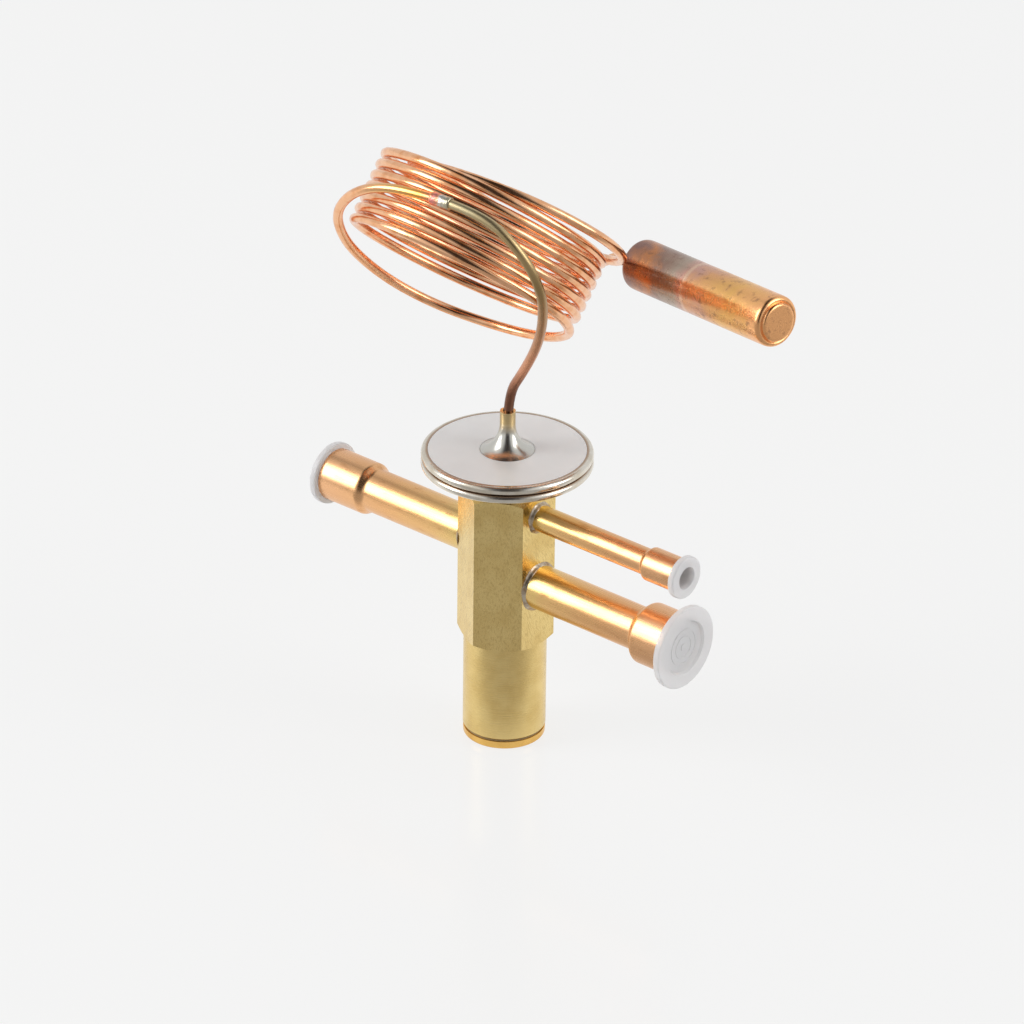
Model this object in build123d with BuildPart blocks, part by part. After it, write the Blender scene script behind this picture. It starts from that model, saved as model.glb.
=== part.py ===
from build123d import *
import os
from math import cos, pi, radians, sin, tan

# Thermostatic expansion valve with external equalisation, solder connections and a
# charged bulb on a coiled capillary.
# All sizes are in mm. The valve axis is +Z and the origin is the centre of the seal
# cap's resting face. Refrigerant enters from -X and leaves towards +X; the equaliser
# line also leaves towards +X, above the outlet.

# ---------------------------------------------------------------- general clearances
RUNNING_FIT = 0.05  # radial, between pieces that turn or slide on each other
JOINED_FIT = 0.02  # radial, round a tube or insert that is brazed or pressed in
REST_GAP = 0.1  # along an axis, between a moving piece and what it stops against
FREE_GAP = 0.6  # past the end of a screwed-in or plugged-in piece
CORNERS_PER_TURN = 8  # of the bends that make up one turn of a coil

# ---------------------------------------------------------------- body
HEX_FLATS = 19.0
HEX_BOTTOM = 25.4
HEX_LENGTH = 37.0
HEX_TURNED_RADIUS = 9.75  # where the turned bevel meets the hexagon's end faces
HEX_BEVEL_ANGLE = 30.0
BARREL_RADIUS = 9.35
BARREL_EDGE_BEVEL = 0.4

# ---------------------------------------------------------------- seal cap and gasket
CAP_FLANGE_RADIUS = 9.25
CAP_FLANGE_THICKNESS = 1.9
CAP_FLANGE_ROUND = 0.7
GASKET_THICKNESS = 0.4
GASKET_OUTER_RADIUS = 8.85
CAP_STEM_RADIUS = 6.9
CAP_STEM_LENGTH = 5.6
CAP_HOLLOW_RADIUS = 4.4
CAP_FLOOR_THICKNESS = 1.1  # left above the hexagon socket
CAP_SOCKET_FLATS = 6.0
CAP_SOCKET_DEPTH = 1.5

# ---------------------------------------------------------------- adjusting screw
GLAND_RADIUS = 6.2
GLAND_LENGTH = 5.6
SPINDLE_RADIUS = 2.4
SPINDLE_TAIL_LENGTH = 3.4  # sticks out of the gland, inside the seal cap
SPINDLE_SLOT_WIDTH = 0.8
SPINDLE_SLOT_DEPTH = 1.2
SPINDLE_COLLAR_RADIUS = 4.4
SPINDLE_COLLAR_THICKNESS = 1.7
SPINDLE_STAND_OUT = 4.7  # past the spring's end
SPINDLE_SEAL_SECTION = 1.5
SPRING_SEAT_THICKNESS = 3.2
PILOT_RADIUS = 2.95  # bosses that centre the spring's ends
PILOT_HEIGHT = 1.4

# ---------------------------------------------------------------- spring chamber
CHAMBER_RADIUS = 5.6
SEAT_RISE = 17.2  # from the hexagon's lower end up to the needle's seat
ORIFICE_RADIUS = 1.5
ORIFICE_INSERT_RADIUS = 3.4
ORIFICE_INSERT_LENGTH = 3.2
ORIFICE_BEVEL = 0.75
INLET_CHAMBER_RADIUS = 3.1
INLET_CHAMBER_RISE = 25.8  # from the hexagon's lower end to the chamber's top

# ---------------------------------------------------------------- needle and rod
NEEDLE_HALF_ANGLE = 30.0
NEEDLE_SEAT_GAP = 0.04
NEEDLE_RADIUS = 2.3
NEEDLE_SHANK_RADIUS = 1.5
NEEDLE_SHANK_LENGTH = 6.4
NEEDLE_HEAD_LENGTH = 1.0
CARRIER_FACE_DROP = 7.6  # from the seat down to the carrier's disc
CARRIER_THICKNESS = 2.8
CARRIER_HUB_RADIUS = 2.9
CARRIER_HUB_HEIGHT = 2.4
CARRIER_HUB_TAPER = 5.0
CARRIER_FLUTES = 4
CARRIER_FLUTE_RADIUS = 1.5
ROD_RADIUS = 1.0
ROD_SEAL_SECTION = 1.4

# ---------------------------------------------------------------- superheat spring
SPRING_RADIUS = 3.75  # to the middle of the wire
SPRING_WIRE_RADIUS = 0.65
SPRING_WORKING_TURNS = 4
SPRING_LENGTH = 10.9
SPRING_END_GAP = 0.03

# ---------------------------------------------------------------- power head
EQUALISER_CHAMBER_RADIUS = 6.0
EQUALISER_CHAMBER_DEPTH = 9.2
HEAD_RADIUS = 19.1
HEAD_SEAM_RISE = 6.7  # from the hexagon to the diaphragm's lower face
DIAPHRAGM_THICKNESS = 0.2
DIAPHRAGM_WAVE_HEIGHT = 0.25
DIAPHRAGM_WAVES = 3
DIAPHRAGM_INSET = 1.0
CLAMP_WIDTH = 2.9
LOWER_BEAD_THICKNESS = 1.8
UPPER_BEAD_THICKNESS = 1.9
BEAD_ROUND_SHARE = 0.45  # of a bead's thickness
HOUSING_NECK_RADIUS = 8.3
HOUSING_NECK_HEIGHT = 1.0
HOUSING_WALL = 1.3
HOUSING_FLOOR_ROOM = 1.0  # past the buffer plate's edge
UPPER_CAVITY_HEIGHT = 0.6
UPPER_PLATE_THICKNESS = 0.9
LABEL_INSET = 1.55
LABEL_THICKNESS = 0.4
BUFFER_RADIUS = 9.6
BUFFER_THICKNESS = 1.6
BUFFER_ROUND = 0.4
BUFFER_BOSS_RADIUS = 2.6
BUFFER_BOSS_HEIGHT = 2.2
ROD_SOCKET_DEPTH = 1.8

# ---------------------------------------------------------------- charge ferrule
FERRULE_BASE_RADIUS = 6.05
FERRULE_NECK_RADIUS = 1.75
FERRULE_FLARE_HEIGHT = 6.3  # from the label up to the neck
FERRULE_SLEEVE_LENGTH = 3.2
FERRULE_SPIGOT_RADIUS = 2.4
CHARGE_HOLE_RADIUS = 0.5
CAPILLARY_INSERTION = 8.0

# ---------------------------------------------------------------- connections
TUBE_POCKET_DEPTH = 3.2
SOCKET_CLEARANCE = 0.05  # radial, for the pipe that is soldered in
MOUTH_EASE = 0.2  # radial, where a socket widens over the transit plug's stem
INLET_RISE = 21.8  # from the hexagon's lower end
INLET_REACH = 51.0
INLET_OUTER_RADIUS = 5.0
INLET_WALL = 1.0
INLET_PIPE_RADIUS = 5.0
INLET_PASSAGE_RADIUS = 2.9
OUTLET_RISE = 14.9
OUTLET_REACH = 50.2
OUTLET_OUTER_RADIUS = 5.0
OUTLET_WALL = 1.0
OUTLET_PIPE_RADIUS = 6.0
OUTLET_PASSAGE_RADIUS = 3.2
EQUALISER_DROP = 4.9  # from the hexagon's upper end
EQUALISER_REACH = 49.9
EQUALISER_OUTER_RADIUS = 3.0
EQUALISER_WALL = 0.8
EQUALISER_PIPE_RADIUS = 3.0
EQUALISER_PASSAGE_RADIUS = 1.8
INLET_SOCKET_DEPTH = 10.5
OUTLET_SOCKET_DEPTH = 8.2
EQUALISER_SOCKET_DEPTH = 7.9
INLET_SHOULDER = 2.4
OUTLET_SHOULDER = 2.8
EQUALISER_SHOULDER = 1.5
BRAZE_LEG = 1.3
BRAZE_FACE_RADIUS = 1.8  # of the hollow face between its two legs
STRAINER_RADIUS = 3.3
STRAINER_LENGTH = 16.0
STRAINER_WALL = 0.35
STRAINER_RIM = 0.8
STRAINER_ROWS = 4
STRAINER_HOLES = 8
STRAINER_HOLE_RADIUS = 0.7

# ---------------------------------------------------------------- transit plugs
PLUG_STEM_LENGTH = 4.0
PLUG_WALL = 0.6
INLET_FLANGE_RADIUS = 7.25
OUTLET_FLANGE_RADIUS = 9.55
EQUALISER_FLANGE_RADIUS = 4.85
PLUG_FLANGE_THICKNESS = 1.6
PLUG_BRIM_ROUND = 0.35
DISH_DEPTH = 0.7
DISH_RIDGE_SPACING = 1.5
DISH_RIDGE_WIDTH = 0.35
DISH_RIDGE_HEIGHT = 0.12
GATE_NUB_RADIUS = 0.9

# ---------------------------------------------------------------- capillary and bulb
CAPILLARY_RADIUS = 1.1
CAPILLARY_BEND_SHARE = 0.45  # of the shorter straight run beside a bend
COIL_TILT = 39.8  # of the coil's axis from +Z towards +Y
COIL_RADIUS = 26.4  # to the middle of the tube
COIL_TURN_GAP = 0.45  # between the tubes of neighbouring turns
COIL_HEADING = 35.0  # direction in the coil's plane from which its turns are counted
COIL_FIRST_CORNER = 40.0
COIL_CORNERS = 54
SLEEVE_LENGTH = 5.0
SLEEVE_WALL = 0.35
SLEEVE_ROUND = 0.28
BULB_HEADING = -10.6
BULB_RISE = 4.5
BULB_RADIUS = 5.8
BULB_WALL = 0.9
BULB_LENGTH = 46.5
BULB_NECK_LENGTH = 2.6
BULB_NECK_WALL = 0.6
BULB_NECK_ROOT_RADIUS = 2.9
BULB_SHOULDER_ROUND = 1.6
BULB_END_ROUND = 1.0
BUTTON_RADIUS = 4.45
BUTTON_HEIGHT = 0.7
BUTTON_ROUND = 0.55

# The capillary's route is measured in coil radii, so that it keeps its shape with the
# coil. Places are counted along X, Y and Z from the ferrule's top.
COIL_PLACE = (-0.447, 0.102, 1.356)
COIL_BASE_SHARE = -0.301  # height of the first full turn over the coil's centre
LEAD_STRAIGHT = 4.1  # from the ferrule's top to the lead's first bend
# The lead leans towards +X and -Y and arches back over the coil's near side, where it is
# brazed to the coiled tube.
LEAD_ROUTE = [
    (0.197, -0.034, 0.443),
    (0.405, -0.114, 0.769),
    (0.583, -0.25, 1.11),
    (0.708, -0.424, 1.481),
    (0.621, -0.576, 1.852),
    (0.288, -0.667, 2.117),
]
# The wide first turn and the last turn in the coil's own plane: degrees turned from
# COIL_HEADING, distance from the coil's axis, and height over its centre.
FIRST_TURN = [
    (130, 1.159, 0.049),
    (151, 1.212, -0.072),
    (172, 1.182, -0.265),
    (192, 1.061, -0.409),
    (216, 0.985, -0.477),
    (241, 0.977, -0.511),
    (266, 1.015, -0.504),
    (291, 1.03, -0.462),
    (315, 1.0, -0.428),
    (339, 1.008, -0.383),
    (364, 1.038, -0.33),
]
LAST_TURN = [
    (308, 1.098, 0.39),
    (350, 1.22, 0.39),
    (390, 1.205, 0.417),
    (428, 1.038, 0.413),
    (465, 0.947, 0.375),
    (500, 0.856, 0.352),
    (538, 0.803, 0.371),
    (576, 0.848, 0.439),
    (608, 1.038, 0.504),
    (645, 1.212, 0.428),
]
# Behind the coil the tube runs across to the bulb and straight into its neck.
BULB_ROUTE = [
    (-0.458, 1.318, 0.826),
    (-0.152, 1.348, 0.818),
]
BULB_PLACE = (0.333, 1.061, 1.008)  # of the side of the bulb's shoulder that faces the coil
BULB_APPROACH = 4.5  # straight stretch in front of the bulb's neck

# ---------------------------------------------------------------- derived sizes
HEX_TOP = HEX_BOTTOM + HEX_LENGTH
CHAMBER_TOP = HEX_BOTTOM + SEAT_RISE
INLET_CHAMBER_TOP = HEX_BOTTOM + INLET_CHAMBER_RISE
EQUALISER_CHAMBER_BOTTOM = HEX_TOP - EQUALISER_CHAMBER_DEPTH
INLET_HEIGHT = HEX_BOTTOM + INLET_RISE
OUTLET_HEIGHT = HEX_BOTTOM + OUTLET_RISE
EQUALISER_HEIGHT = HEX_TOP - EQUALISER_DROP
HEAD_SEAM_HEIGHT = HEX_TOP + HEAD_SEAM_RISE
CLAMP_INNER_RADIUS = HEAD_RADIUS - CLAMP_WIDTH
DIAPHRAGM_RADIUS = HEAD_RADIUS - DIAPHRAGM_INSET
LABEL_RADIUS = HEAD_RADIUS - LABEL_INSET
HOUSING_FLOOR_RADIUS = BUFFER_RADIUS + HOUSING_FLOOR_ROOM
BARREL_BOTTOM = CAP_FLANGE_THICKNESS + GASKET_THICKNESS
CAP_STEM_TOP = CAP_FLANGE_THICKNESS + CAP_STEM_LENGTH
GLAND_BOTTOM = CAP_STEM_TOP + FREE_GAP
GLAND_TOP = GLAND_BOTTOM + GLAND_LENGTH
COLLAR_BOTTOM = GLAND_TOP + REST_GAP
COLLAR_TOP = COLLAR_BOTTOM + SPINDLE_COLLAR_THICKNESS
CARRIER_TOP = CHAMBER_TOP - CARRIER_FACE_DROP
CARRIER_BOTTOM = CARRIER_TOP - CARRIER_THICKNESS
SEAT_TOP = CARRIER_BOTTOM - SPRING_LENGTH
SEAT_BOTTOM = SEAT_TOP - SPRING_SEAT_THICKNESS
SPINDLE_TOP = SEAT_TOP + SPINDLE_STAND_OUT
NEEDLE_SEAT_RADIUS = ORIFICE_RADIUS - NEEDLE_SEAT_GAP / cos(radians(NEEDLE_HALF_ANGLE))
NEEDLE_SLOPE = tan(radians(NEEDLE_HALF_ANGLE))
NEEDLE_TIP = CHAMBER_TOP + (NEEDLE_SEAT_RADIUS - ROD_RADIUS) / NEEDLE_SLOPE
NEEDLE_SHOULDER = CHAMBER_TOP - (NEEDLE_RADIUS - NEEDLE_SEAT_RADIUS) / NEEDLE_SLOPE
HEAD_SEAM_TOP = HEAD_SEAM_HEIGHT + DIAPHRAGM_THICKNESS
BUFFER_TOP = HEAD_SEAM_HEIGHT - DIAPHRAGM_WAVE_HEIGHT - RUNNING_FIT
BUFFER_BOTTOM = BUFFER_TOP - BUFFER_THICKNESS
BOSS_BOTTOM = BUFFER_BOTTOM - BUFFER_BOSS_HEIGHT
ROD_TOP = BOSS_BOTTOM + ROD_SOCKET_DEPTH
PLATE_TOP = HEAD_SEAM_TOP + UPPER_CAVITY_HEIGHT + UPPER_PLATE_THICKNESS
LABEL_TOP = PLATE_TOP + LABEL_THICKNESS
NECK_HEIGHT = LABEL_TOP + FERRULE_FLARE_HEIGHT
FERRULE_TOP = NECK_HEIGHT + FERRULE_SLEEVE_LENGTH
CAPILLARY_START = FERRULE_TOP - CAPILLARY_INSERTION
HEX_FACE = HEX_FLATS / 2
POCKET_START = HEX_FACE - TUBE_POCKET_DEPTH

COIL_PITCH = 2 * CAPILLARY_RADIUS + COIL_TURN_GAP
COIL_BASE = COIL_RADIUS * COIL_BASE_SHARE
COIL_PLANE = Plane(
    origin=Vector(0, 0, FERRULE_TOP) + Vector(*COIL_PLACE) * COIL_RADIUS,
    x_dir=(1, 0, 0),
    z_dir=(0, sin(radians(COIL_TILT)), cos(radians(COIL_TILT))),
)
BULB_AXIS = Vector(
    cos(radians(BULB_HEADING)) * cos(radians(BULB_RISE)),
    sin(radians(BULB_HEADING)) * cos(radians(BULB_RISE)),
    sin(radians(BULB_RISE)),
)
BULB_START = Vector(0, BULB_RADIUS, FERRULE_TOP) + Vector(*BULB_PLACE) * COIL_RADIUS

os.makedirs("parts", exist_ok=True)


def along_x(direction, height):
    """Plane whose x runs out along a connection and whose y runs up from its axis."""
    return Plane(origin=(0, 0, height), x_dir=(direction, 0, 0), z_dir=(0, -direction, 0))


def coil_point(turned, radius, height):
    """Point of the coil, in degrees turned, distance from its axis and height."""
    angle = radians(COIL_HEADING - turned)
    across = COIL_PLANE.x_dir * (radius * cos(angle)) + COIL_PLANE.y_dir * (radius * sin(angle))
    return COIL_PLANE.origin + across + COIL_PLANE.z_dir * height


def turn_point(turned, radius_share, height_share):
    """Point of the coil whose distance and height are shares of the coil's radius."""
    return coil_point(turned, radius_share * COIL_RADIUS, height_share * COIL_RADIUS)


def route_point(x, y, z):
    """Point counted from the ferrule's top, in coil radii."""
    return Vector(0, 0, FERRULE_TOP) + Vector(x, y, z) * COIL_RADIUS


def bend_radii(route):
    """Largest bend at each corner that leaves the straight runs beside it standing."""
    radii = []
    for before, corner, after in zip(route, route[1:], route[2:]):
        run_in = corner - before
        run_out = after - corner
        half_turn = radians(run_in.get_angle(run_out)) / 2
        shorter = min(run_in.length, run_out.length)
        radii.append(CAPILLARY_BEND_SHARE * shorter / tan(half_turn))
    return radii


def bent_rod(label, route, radius):
    """Round rod or tube that follows a route of straight runs and tangent bends."""
    radii = bend_radii(route)
    with BuildPart() as rod:
        with BuildLine() as path:
            FilletPolyline(*route, radius=radii)
        with BuildSketch(Plane(origin=route[0], z_dir=route[1] - route[0])):
            Circle(radius)
        sweep(path=path.wire())
    rod.part.label = label
    print(label, "length", round(path.wire().length, 1), "tightest bend", round(min(radii), 1))
    return rod.part


# ================================================================ valve body
# Hexagon brass bar, turned down to a round barrel at the lower end, with bevelled
# corners and one stepped bore from each end.
with BuildPart() as valve_body:
    with BuildSketch(Plane.XY.offset(HEX_BOTTOM)):
        RegularPolygon(HEX_FACE, 6, major_radius=False, rotation=30)
    extrude(amount=HEX_TOP - HEX_BOTTOM)
    corner_radius = HEX_FACE / cos(pi / 6) + REST_GAP
    bevel_height = (corner_radius - HEX_TURNED_RADIUS) * tan(radians(HEX_BEVEL_ANGLE))
    with BuildSketch(Plane.XZ):
        with BuildLine():
            Polyline(
                (0, HEX_BOTTOM),
                (HEX_TURNED_RADIUS, HEX_BOTTOM),
                (corner_radius, HEX_BOTTOM + bevel_height),
                (corner_radius, HEX_TOP - bevel_height),
                (HEX_TURNED_RADIUS, HEX_TOP),
                (0, HEX_TOP),
                close=True,
            )
        make_face()
    revolve(axis=Axis.Z, mode=Mode.INTERSECT)
    with BuildSketch(Plane.XY.offset(BARREL_BOTTOM)):
        Circle(BARREL_RADIUS)
    extrude(amount=HEX_BOTTOM - BARREL_BOTTOM)
    barrel_rim = valve_body.edges().filter_by(GeomType.CIRCLE).sort_by(Axis.Z)[0]
    chamfer(barrel_rim, BARREL_EDGE_BEVEL)

    # Lower bore: thread for the cap, thread for the gland, spring chamber, insert seat.
    with BuildSketch(Plane.XZ):
        with BuildLine():
            Polyline(
                (0, BARREL_BOTTOM),
                (CAP_STEM_RADIUS + RUNNING_FIT, BARREL_BOTTOM),
                (CAP_STEM_RADIUS + RUNNING_FIT, GLAND_BOTTOM),
                (GLAND_RADIUS + JOINED_FIT, GLAND_BOTTOM),
                (GLAND_RADIUS + JOINED_FIT, GLAND_TOP),
                (CHAMBER_RADIUS, GLAND_TOP),
                (CHAMBER_RADIUS, CHAMBER_TOP),
                (ORIFICE_INSERT_RADIUS + JOINED_FIT, CHAMBER_TOP),
                (ORIFICE_INSERT_RADIUS + JOINED_FIT, CHAMBER_TOP + ORIFICE_INSERT_LENGTH),
                (INLET_CHAMBER_RADIUS, CHAMBER_TOP + ORIFICE_INSERT_LENGTH),
                (INLET_CHAMBER_RADIUS, INLET_CHAMBER_TOP),
                (ROD_RADIUS + RUNNING_FIT, INLET_CHAMBER_TOP),
                (ROD_RADIUS + RUNNING_FIT, EQUALISER_CHAMBER_BOTTOM),
                (EQUALISER_CHAMBER_RADIUS, EQUALISER_CHAMBER_BOTTOM),
                (EQUALISER_CHAMBER_RADIUS, HEX_TOP),
                (0, HEX_TOP),
                close=True,
            )
        make_face()
    revolve(axis=Axis.Z, mode=Mode.SUBTRACT)

    # Each connection has a pocket that takes its tube and a passage to its chamber.
    for direction, height, tube_radius, passage_radius in (
        (-1, INLET_HEIGHT, INLET_OUTER_RADIUS, INLET_PASSAGE_RADIUS),
        (1, OUTLET_HEIGHT, OUTLET_OUTER_RADIUS, OUTLET_PASSAGE_RADIUS),
        (1, EQUALISER_HEIGHT, EQUALISER_OUTER_RADIUS, EQUALISER_PASSAGE_RADIUS),
    ):
        side = Plane(origin=(0, 0, height), z_dir=(direction, 0, 0))
        with BuildSketch(side.offset(POCKET_START)):
            Circle(tube_radius + JOINED_FIT)
        extrude(amount=TUBE_POCKET_DEPTH + REST_GAP, mode=Mode.SUBTRACT)
        with BuildSketch(side):
            Circle(passage_radius)
        extrude(amount=POCKET_START, mode=Mode.SUBTRACT)
valve_body.part.label = "valve_body"
export_step(valve_body.part, "parts/valve_body.step")

# ================================================================ orifice insert
# Hardened seat pressed up into the body; the needle closes on its lower edge.
with BuildPart() as orifice_insert:
    with BuildSketch(Plane.XY.offset(CHAMBER_TOP)):
        Circle(ORIFICE_INSERT_RADIUS)
        Circle(ORIFICE_RADIUS, mode=Mode.SUBTRACT)
    extrude(amount=ORIFICE_INSERT_LENGTH)
    orifice_mouth = orifice_insert.edges().filter_by(GeomType.CIRCLE).group_by(Axis.Z)[-1]
    chamfer(orifice_mouth.sort_by(SortBy.RADIUS)[0], ORIFICE_BEVEL)
orifice_insert.part.label = "orifice_insert"
export_step(orifice_insert.part, "parts/orifice_insert.step")

# ================================================================ seal cap and gasket
# Screwed plug with a hexagon socket; its round flange is the face the valve stands on.
with BuildPart() as seal_cap:
    with BuildSketch(Plane.XY):
        Circle(CAP_FLANGE_RADIUS)
    extrude(amount=CAP_FLANGE_THICKNESS)
    fillet(seal_cap.edges().group_by(Axis.Z)[0], CAP_FLANGE_ROUND)
    with BuildSketch(Plane.XY.offset(CAP_FLANGE_THICKNESS)):
        Circle(CAP_STEM_RADIUS)
    extrude(amount=CAP_STEM_LENGTH)
    with BuildSketch(Plane.XY.offset(CAP_SOCKET_DEPTH + CAP_FLOOR_THICKNESS)):
        Circle(CAP_HOLLOW_RADIUS)
    extrude(amount=CAP_STEM_TOP, mode=Mode.SUBTRACT)
    with BuildSketch(Plane.XY):
        RegularPolygon(CAP_SOCKET_FLATS / 2, 6, major_radius=False)
    extrude(amount=CAP_SOCKET_DEPTH, mode=Mode.SUBTRACT)
    stem_mouth = seal_cap.edges().filter_by(GeomType.CIRCLE).group_by(Axis.Z)[-1]
    chamfer(stem_mouth.sort_by(SortBy.RADIUS)[-1], BARREL_EDGE_BEVEL)
seal_cap.part.label = "seal_cap"
export_step(seal_cap.part, "parts/seal_cap.step")

with BuildPart() as cap_gasket:
    with BuildSketch(Plane.XY.offset(CAP_FLANGE_THICKNESS)):
        Circle(GASKET_OUTER_RADIUS)
        Circle(CAP_STEM_RADIUS + RUNNING_FIT, mode=Mode.SUBTRACT)
    extrude(amount=GASKET_THICKNESS)
cap_gasket.part.label = "cap_gasket"
export_step(cap_gasket.part, "parts/cap_gasket.step")

# ================================================================ gland and spindle
with BuildPart() as gland_bush:
    with BuildSketch(Plane.XY.offset(GLAND_BOTTOM)):
        Circle(GLAND_RADIUS)
        Circle(SPINDLE_RADIUS + RUNNING_FIT, mode=Mode.SUBTRACT)
    extrude(amount=GLAND_LENGTH)
    with BuildSketch(Plane.XY.offset(GLAND_TOP - SPINDLE_SEAL_SECTION)):
        Circle(SPINDLE_RADIUS + RUNNING_FIT + SPINDLE_SEAL_SECTION)
    extrude(amount=SPINDLE_SEAL_SECTION, mode=Mode.SUBTRACT)
gland_bush.part.label = "gland_bush"
export_step(gland_bush.part, "parts/gland_bush.step")


def o_ring(label, inner_radius, section, bottom):
    """Rubber ring of round section, lying in a groove."""
    with BuildPart() as ring:
        with BuildSketch(Plane.XZ):
            with Locations((inner_radius + section / 2, bottom + section / 2)):
                Circle(section / 2 - JOINED_FIT)
        revolve(axis=Axis.Z)
    ring.part.label = label
    export_step(ring.part, f"parts/{label}.step")


o_ring(
    "spindle_seal",
    SPINDLE_RADIUS + RUNNING_FIT,
    SPINDLE_SEAL_SECTION,
    GLAND_TOP - SPINDLE_SEAL_SECTION,
)
o_ring("rod_seal", ROD_RADIUS + RUNNING_FIT, ROD_SEAL_SECTION, EQUALISER_CHAMBER_BOTTOM)

with BuildPart() as adjusting_spindle:
    with BuildSketch(Plane.XY.offset(GLAND_BOTTOM - SPINDLE_TAIL_LENGTH)):
        Circle(SPINDLE_RADIUS)
    extrude(amount=SPINDLE_TOP - GLAND_BOTTOM + SPINDLE_TAIL_LENGTH)
    with BuildSketch(Plane.XY.offset(COLLAR_BOTTOM)):
        Circle(SPINDLE_COLLAR_RADIUS)
    extrude(amount=SPINDLE_COLLAR_THICKNESS)
    with BuildSketch(Plane.XY.offset(GLAND_BOTTOM - SPINDLE_TAIL_LENGTH)):
        Rectangle(2 * SPINDLE_COLLAR_RADIUS, SPINDLE_SLOT_WIDTH)
    extrude(amount=SPINDLE_SLOT_DEPTH, mode=Mode.SUBTRACT)
adjusting_spindle.part.label = "adjusting_spindle"
export_step(adjusting_spindle.part, "parts/adjusting_spindle.step")

# The spring seat is a nut on the spindle; it climbs when the spindle turns.
with BuildPart() as spring_seat:
    with BuildSketch(Plane.XY.offset(SEAT_BOTTOM)):
        Circle(CHAMBER_RADIUS - RUNNING_FIT)
    extrude(amount=SPRING_SEAT_THICKNESS)
    with BuildSketch(Plane.XY.offset(SEAT_TOP)):
        Circle(PILOT_RADIUS)
    extrude(amount=PILOT_HEIGHT)
    with BuildSketch(Plane.XY.offset(SEAT_BOTTOM)):
        Circle(SPINDLE_RADIUS + RUNNING_FIT)
    extrude(amount=SPRING_SEAT_THICKNESS + PILOT_HEIGHT, mode=Mode.SUBTRACT)
spring_seat.part.label = "spring_seat"
export_step(spring_seat.part, "parts/spring_seat.step")

# ================================================================ superheat spring
# One dead coil at each end and evenly climbing coils between them.
spring_bottom = SEAT_TOP + SPRING_WIRE_RADIUS + SPRING_END_GAP
spring_top = CARRIER_BOTTOM - SPRING_WIRE_RADIUS - SPRING_END_GAP
spring_turns = SPRING_WORKING_TURNS + 2
spring_corner_radius = SPRING_RADIUS / cos(pi / CORNERS_PER_TURN)
spring_route = []
for corner in range(spring_turns * CORNERS_PER_TURN + 1):
    turns = corner / CORNERS_PER_TURN
    climb = min(max(turns - 1, 0), SPRING_WORKING_TURNS) / SPRING_WORKING_TURNS
    dead_rise = 2 * SPRING_WIRE_RADIUS + SPRING_END_GAP
    rise = dead_rise * (min(turns, 1) + max(turns - SPRING_WORKING_TURNS - 1, 0))
    working_rise = spring_top - spring_bottom - 2 * dead_rise
    spring_route.append(
        Vector(
            spring_corner_radius * cos(2 * pi * turns),
            spring_corner_radius * sin(2 * pi * turns),
            spring_bottom + rise + working_rise * climb,
        )
    )
superheat_spring = bent_rod("superheat_spring", spring_route, SPRING_WIRE_RADIUS)
export_step(superheat_spring, "parts/superheat_spring.step")

# ================================================================ needle group
with BuildPart() as needle_carrier:
    with BuildSketch(Plane.XY.offset(CARRIER_BOTTOM)):
        Circle(CHAMBER_RADIUS - RUNNING_FIT)
        with PolarLocations(CHAMBER_RADIUS, CARRIER_FLUTES, start_angle=45):
            Circle(CARRIER_FLUTE_RADIUS, mode=Mode.SUBTRACT)
    extrude(amount=CARRIER_THICKNESS)
    with BuildSketch(Plane.XY.offset(CARRIER_BOTTOM - PILOT_HEIGHT)):
        Circle(PILOT_RADIUS)
    extrude(amount=PILOT_HEIGHT)
    with BuildSketch(Plane.XY.offset(CARRIER_TOP)):
        Circle(CARRIER_HUB_RADIUS)
    extrude(amount=CARRIER_HUB_HEIGHT, taper=CARRIER_HUB_TAPER)
    with BuildSketch(Plane.XY.offset(NEEDLE_SHOULDER - NEEDLE_SHANK_LENGTH)):
        Circle(NEEDLE_SHANK_RADIUS + JOINED_FIT)
    extrude(amount=NEEDLE_SHANK_LENGTH, mode=Mode.SUBTRACT)
needle_carrier.part.label = "needle_carrier"
export_step(needle_carrier.part, "parts/needle_carrier.step")

with BuildPart() as needle:
    with BuildSketch(Plane.XZ):
        with BuildLine():
            Polyline(
                (0, NEEDLE_SHOULDER - NEEDLE_SHANK_LENGTH),
                (NEEDLE_SHANK_RADIUS, NEEDLE_SHOULDER - NEEDLE_SHANK_LENGTH),
                (NEEDLE_SHANK_RADIUS, NEEDLE_SHOULDER - NEEDLE_HEAD_LENGTH),
                (NEEDLE_RADIUS, NEEDLE_SHOULDER - NEEDLE_HEAD_LENGTH),
                (NEEDLE_RADIUS, NEEDLE_SHOULDER),
                (ROD_RADIUS, NEEDLE_TIP),
                (0, NEEDLE_TIP),
                close=True,
            )
        make_face()
    revolve(axis=Axis.Z)
needle.part.label = "needle"
export_step(needle.part, "parts/needle.step")

with BuildPart() as push_rod:
    with BuildSketch(Plane.XY.offset(NEEDLE_TIP)):
        Circle(ROD_RADIUS)
    extrude(amount=ROD_TOP - NEEDLE_TIP)
push_rod.part.label = "push_rod"
export_step(push_rod.part, "parts/push_rod.step")

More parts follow.
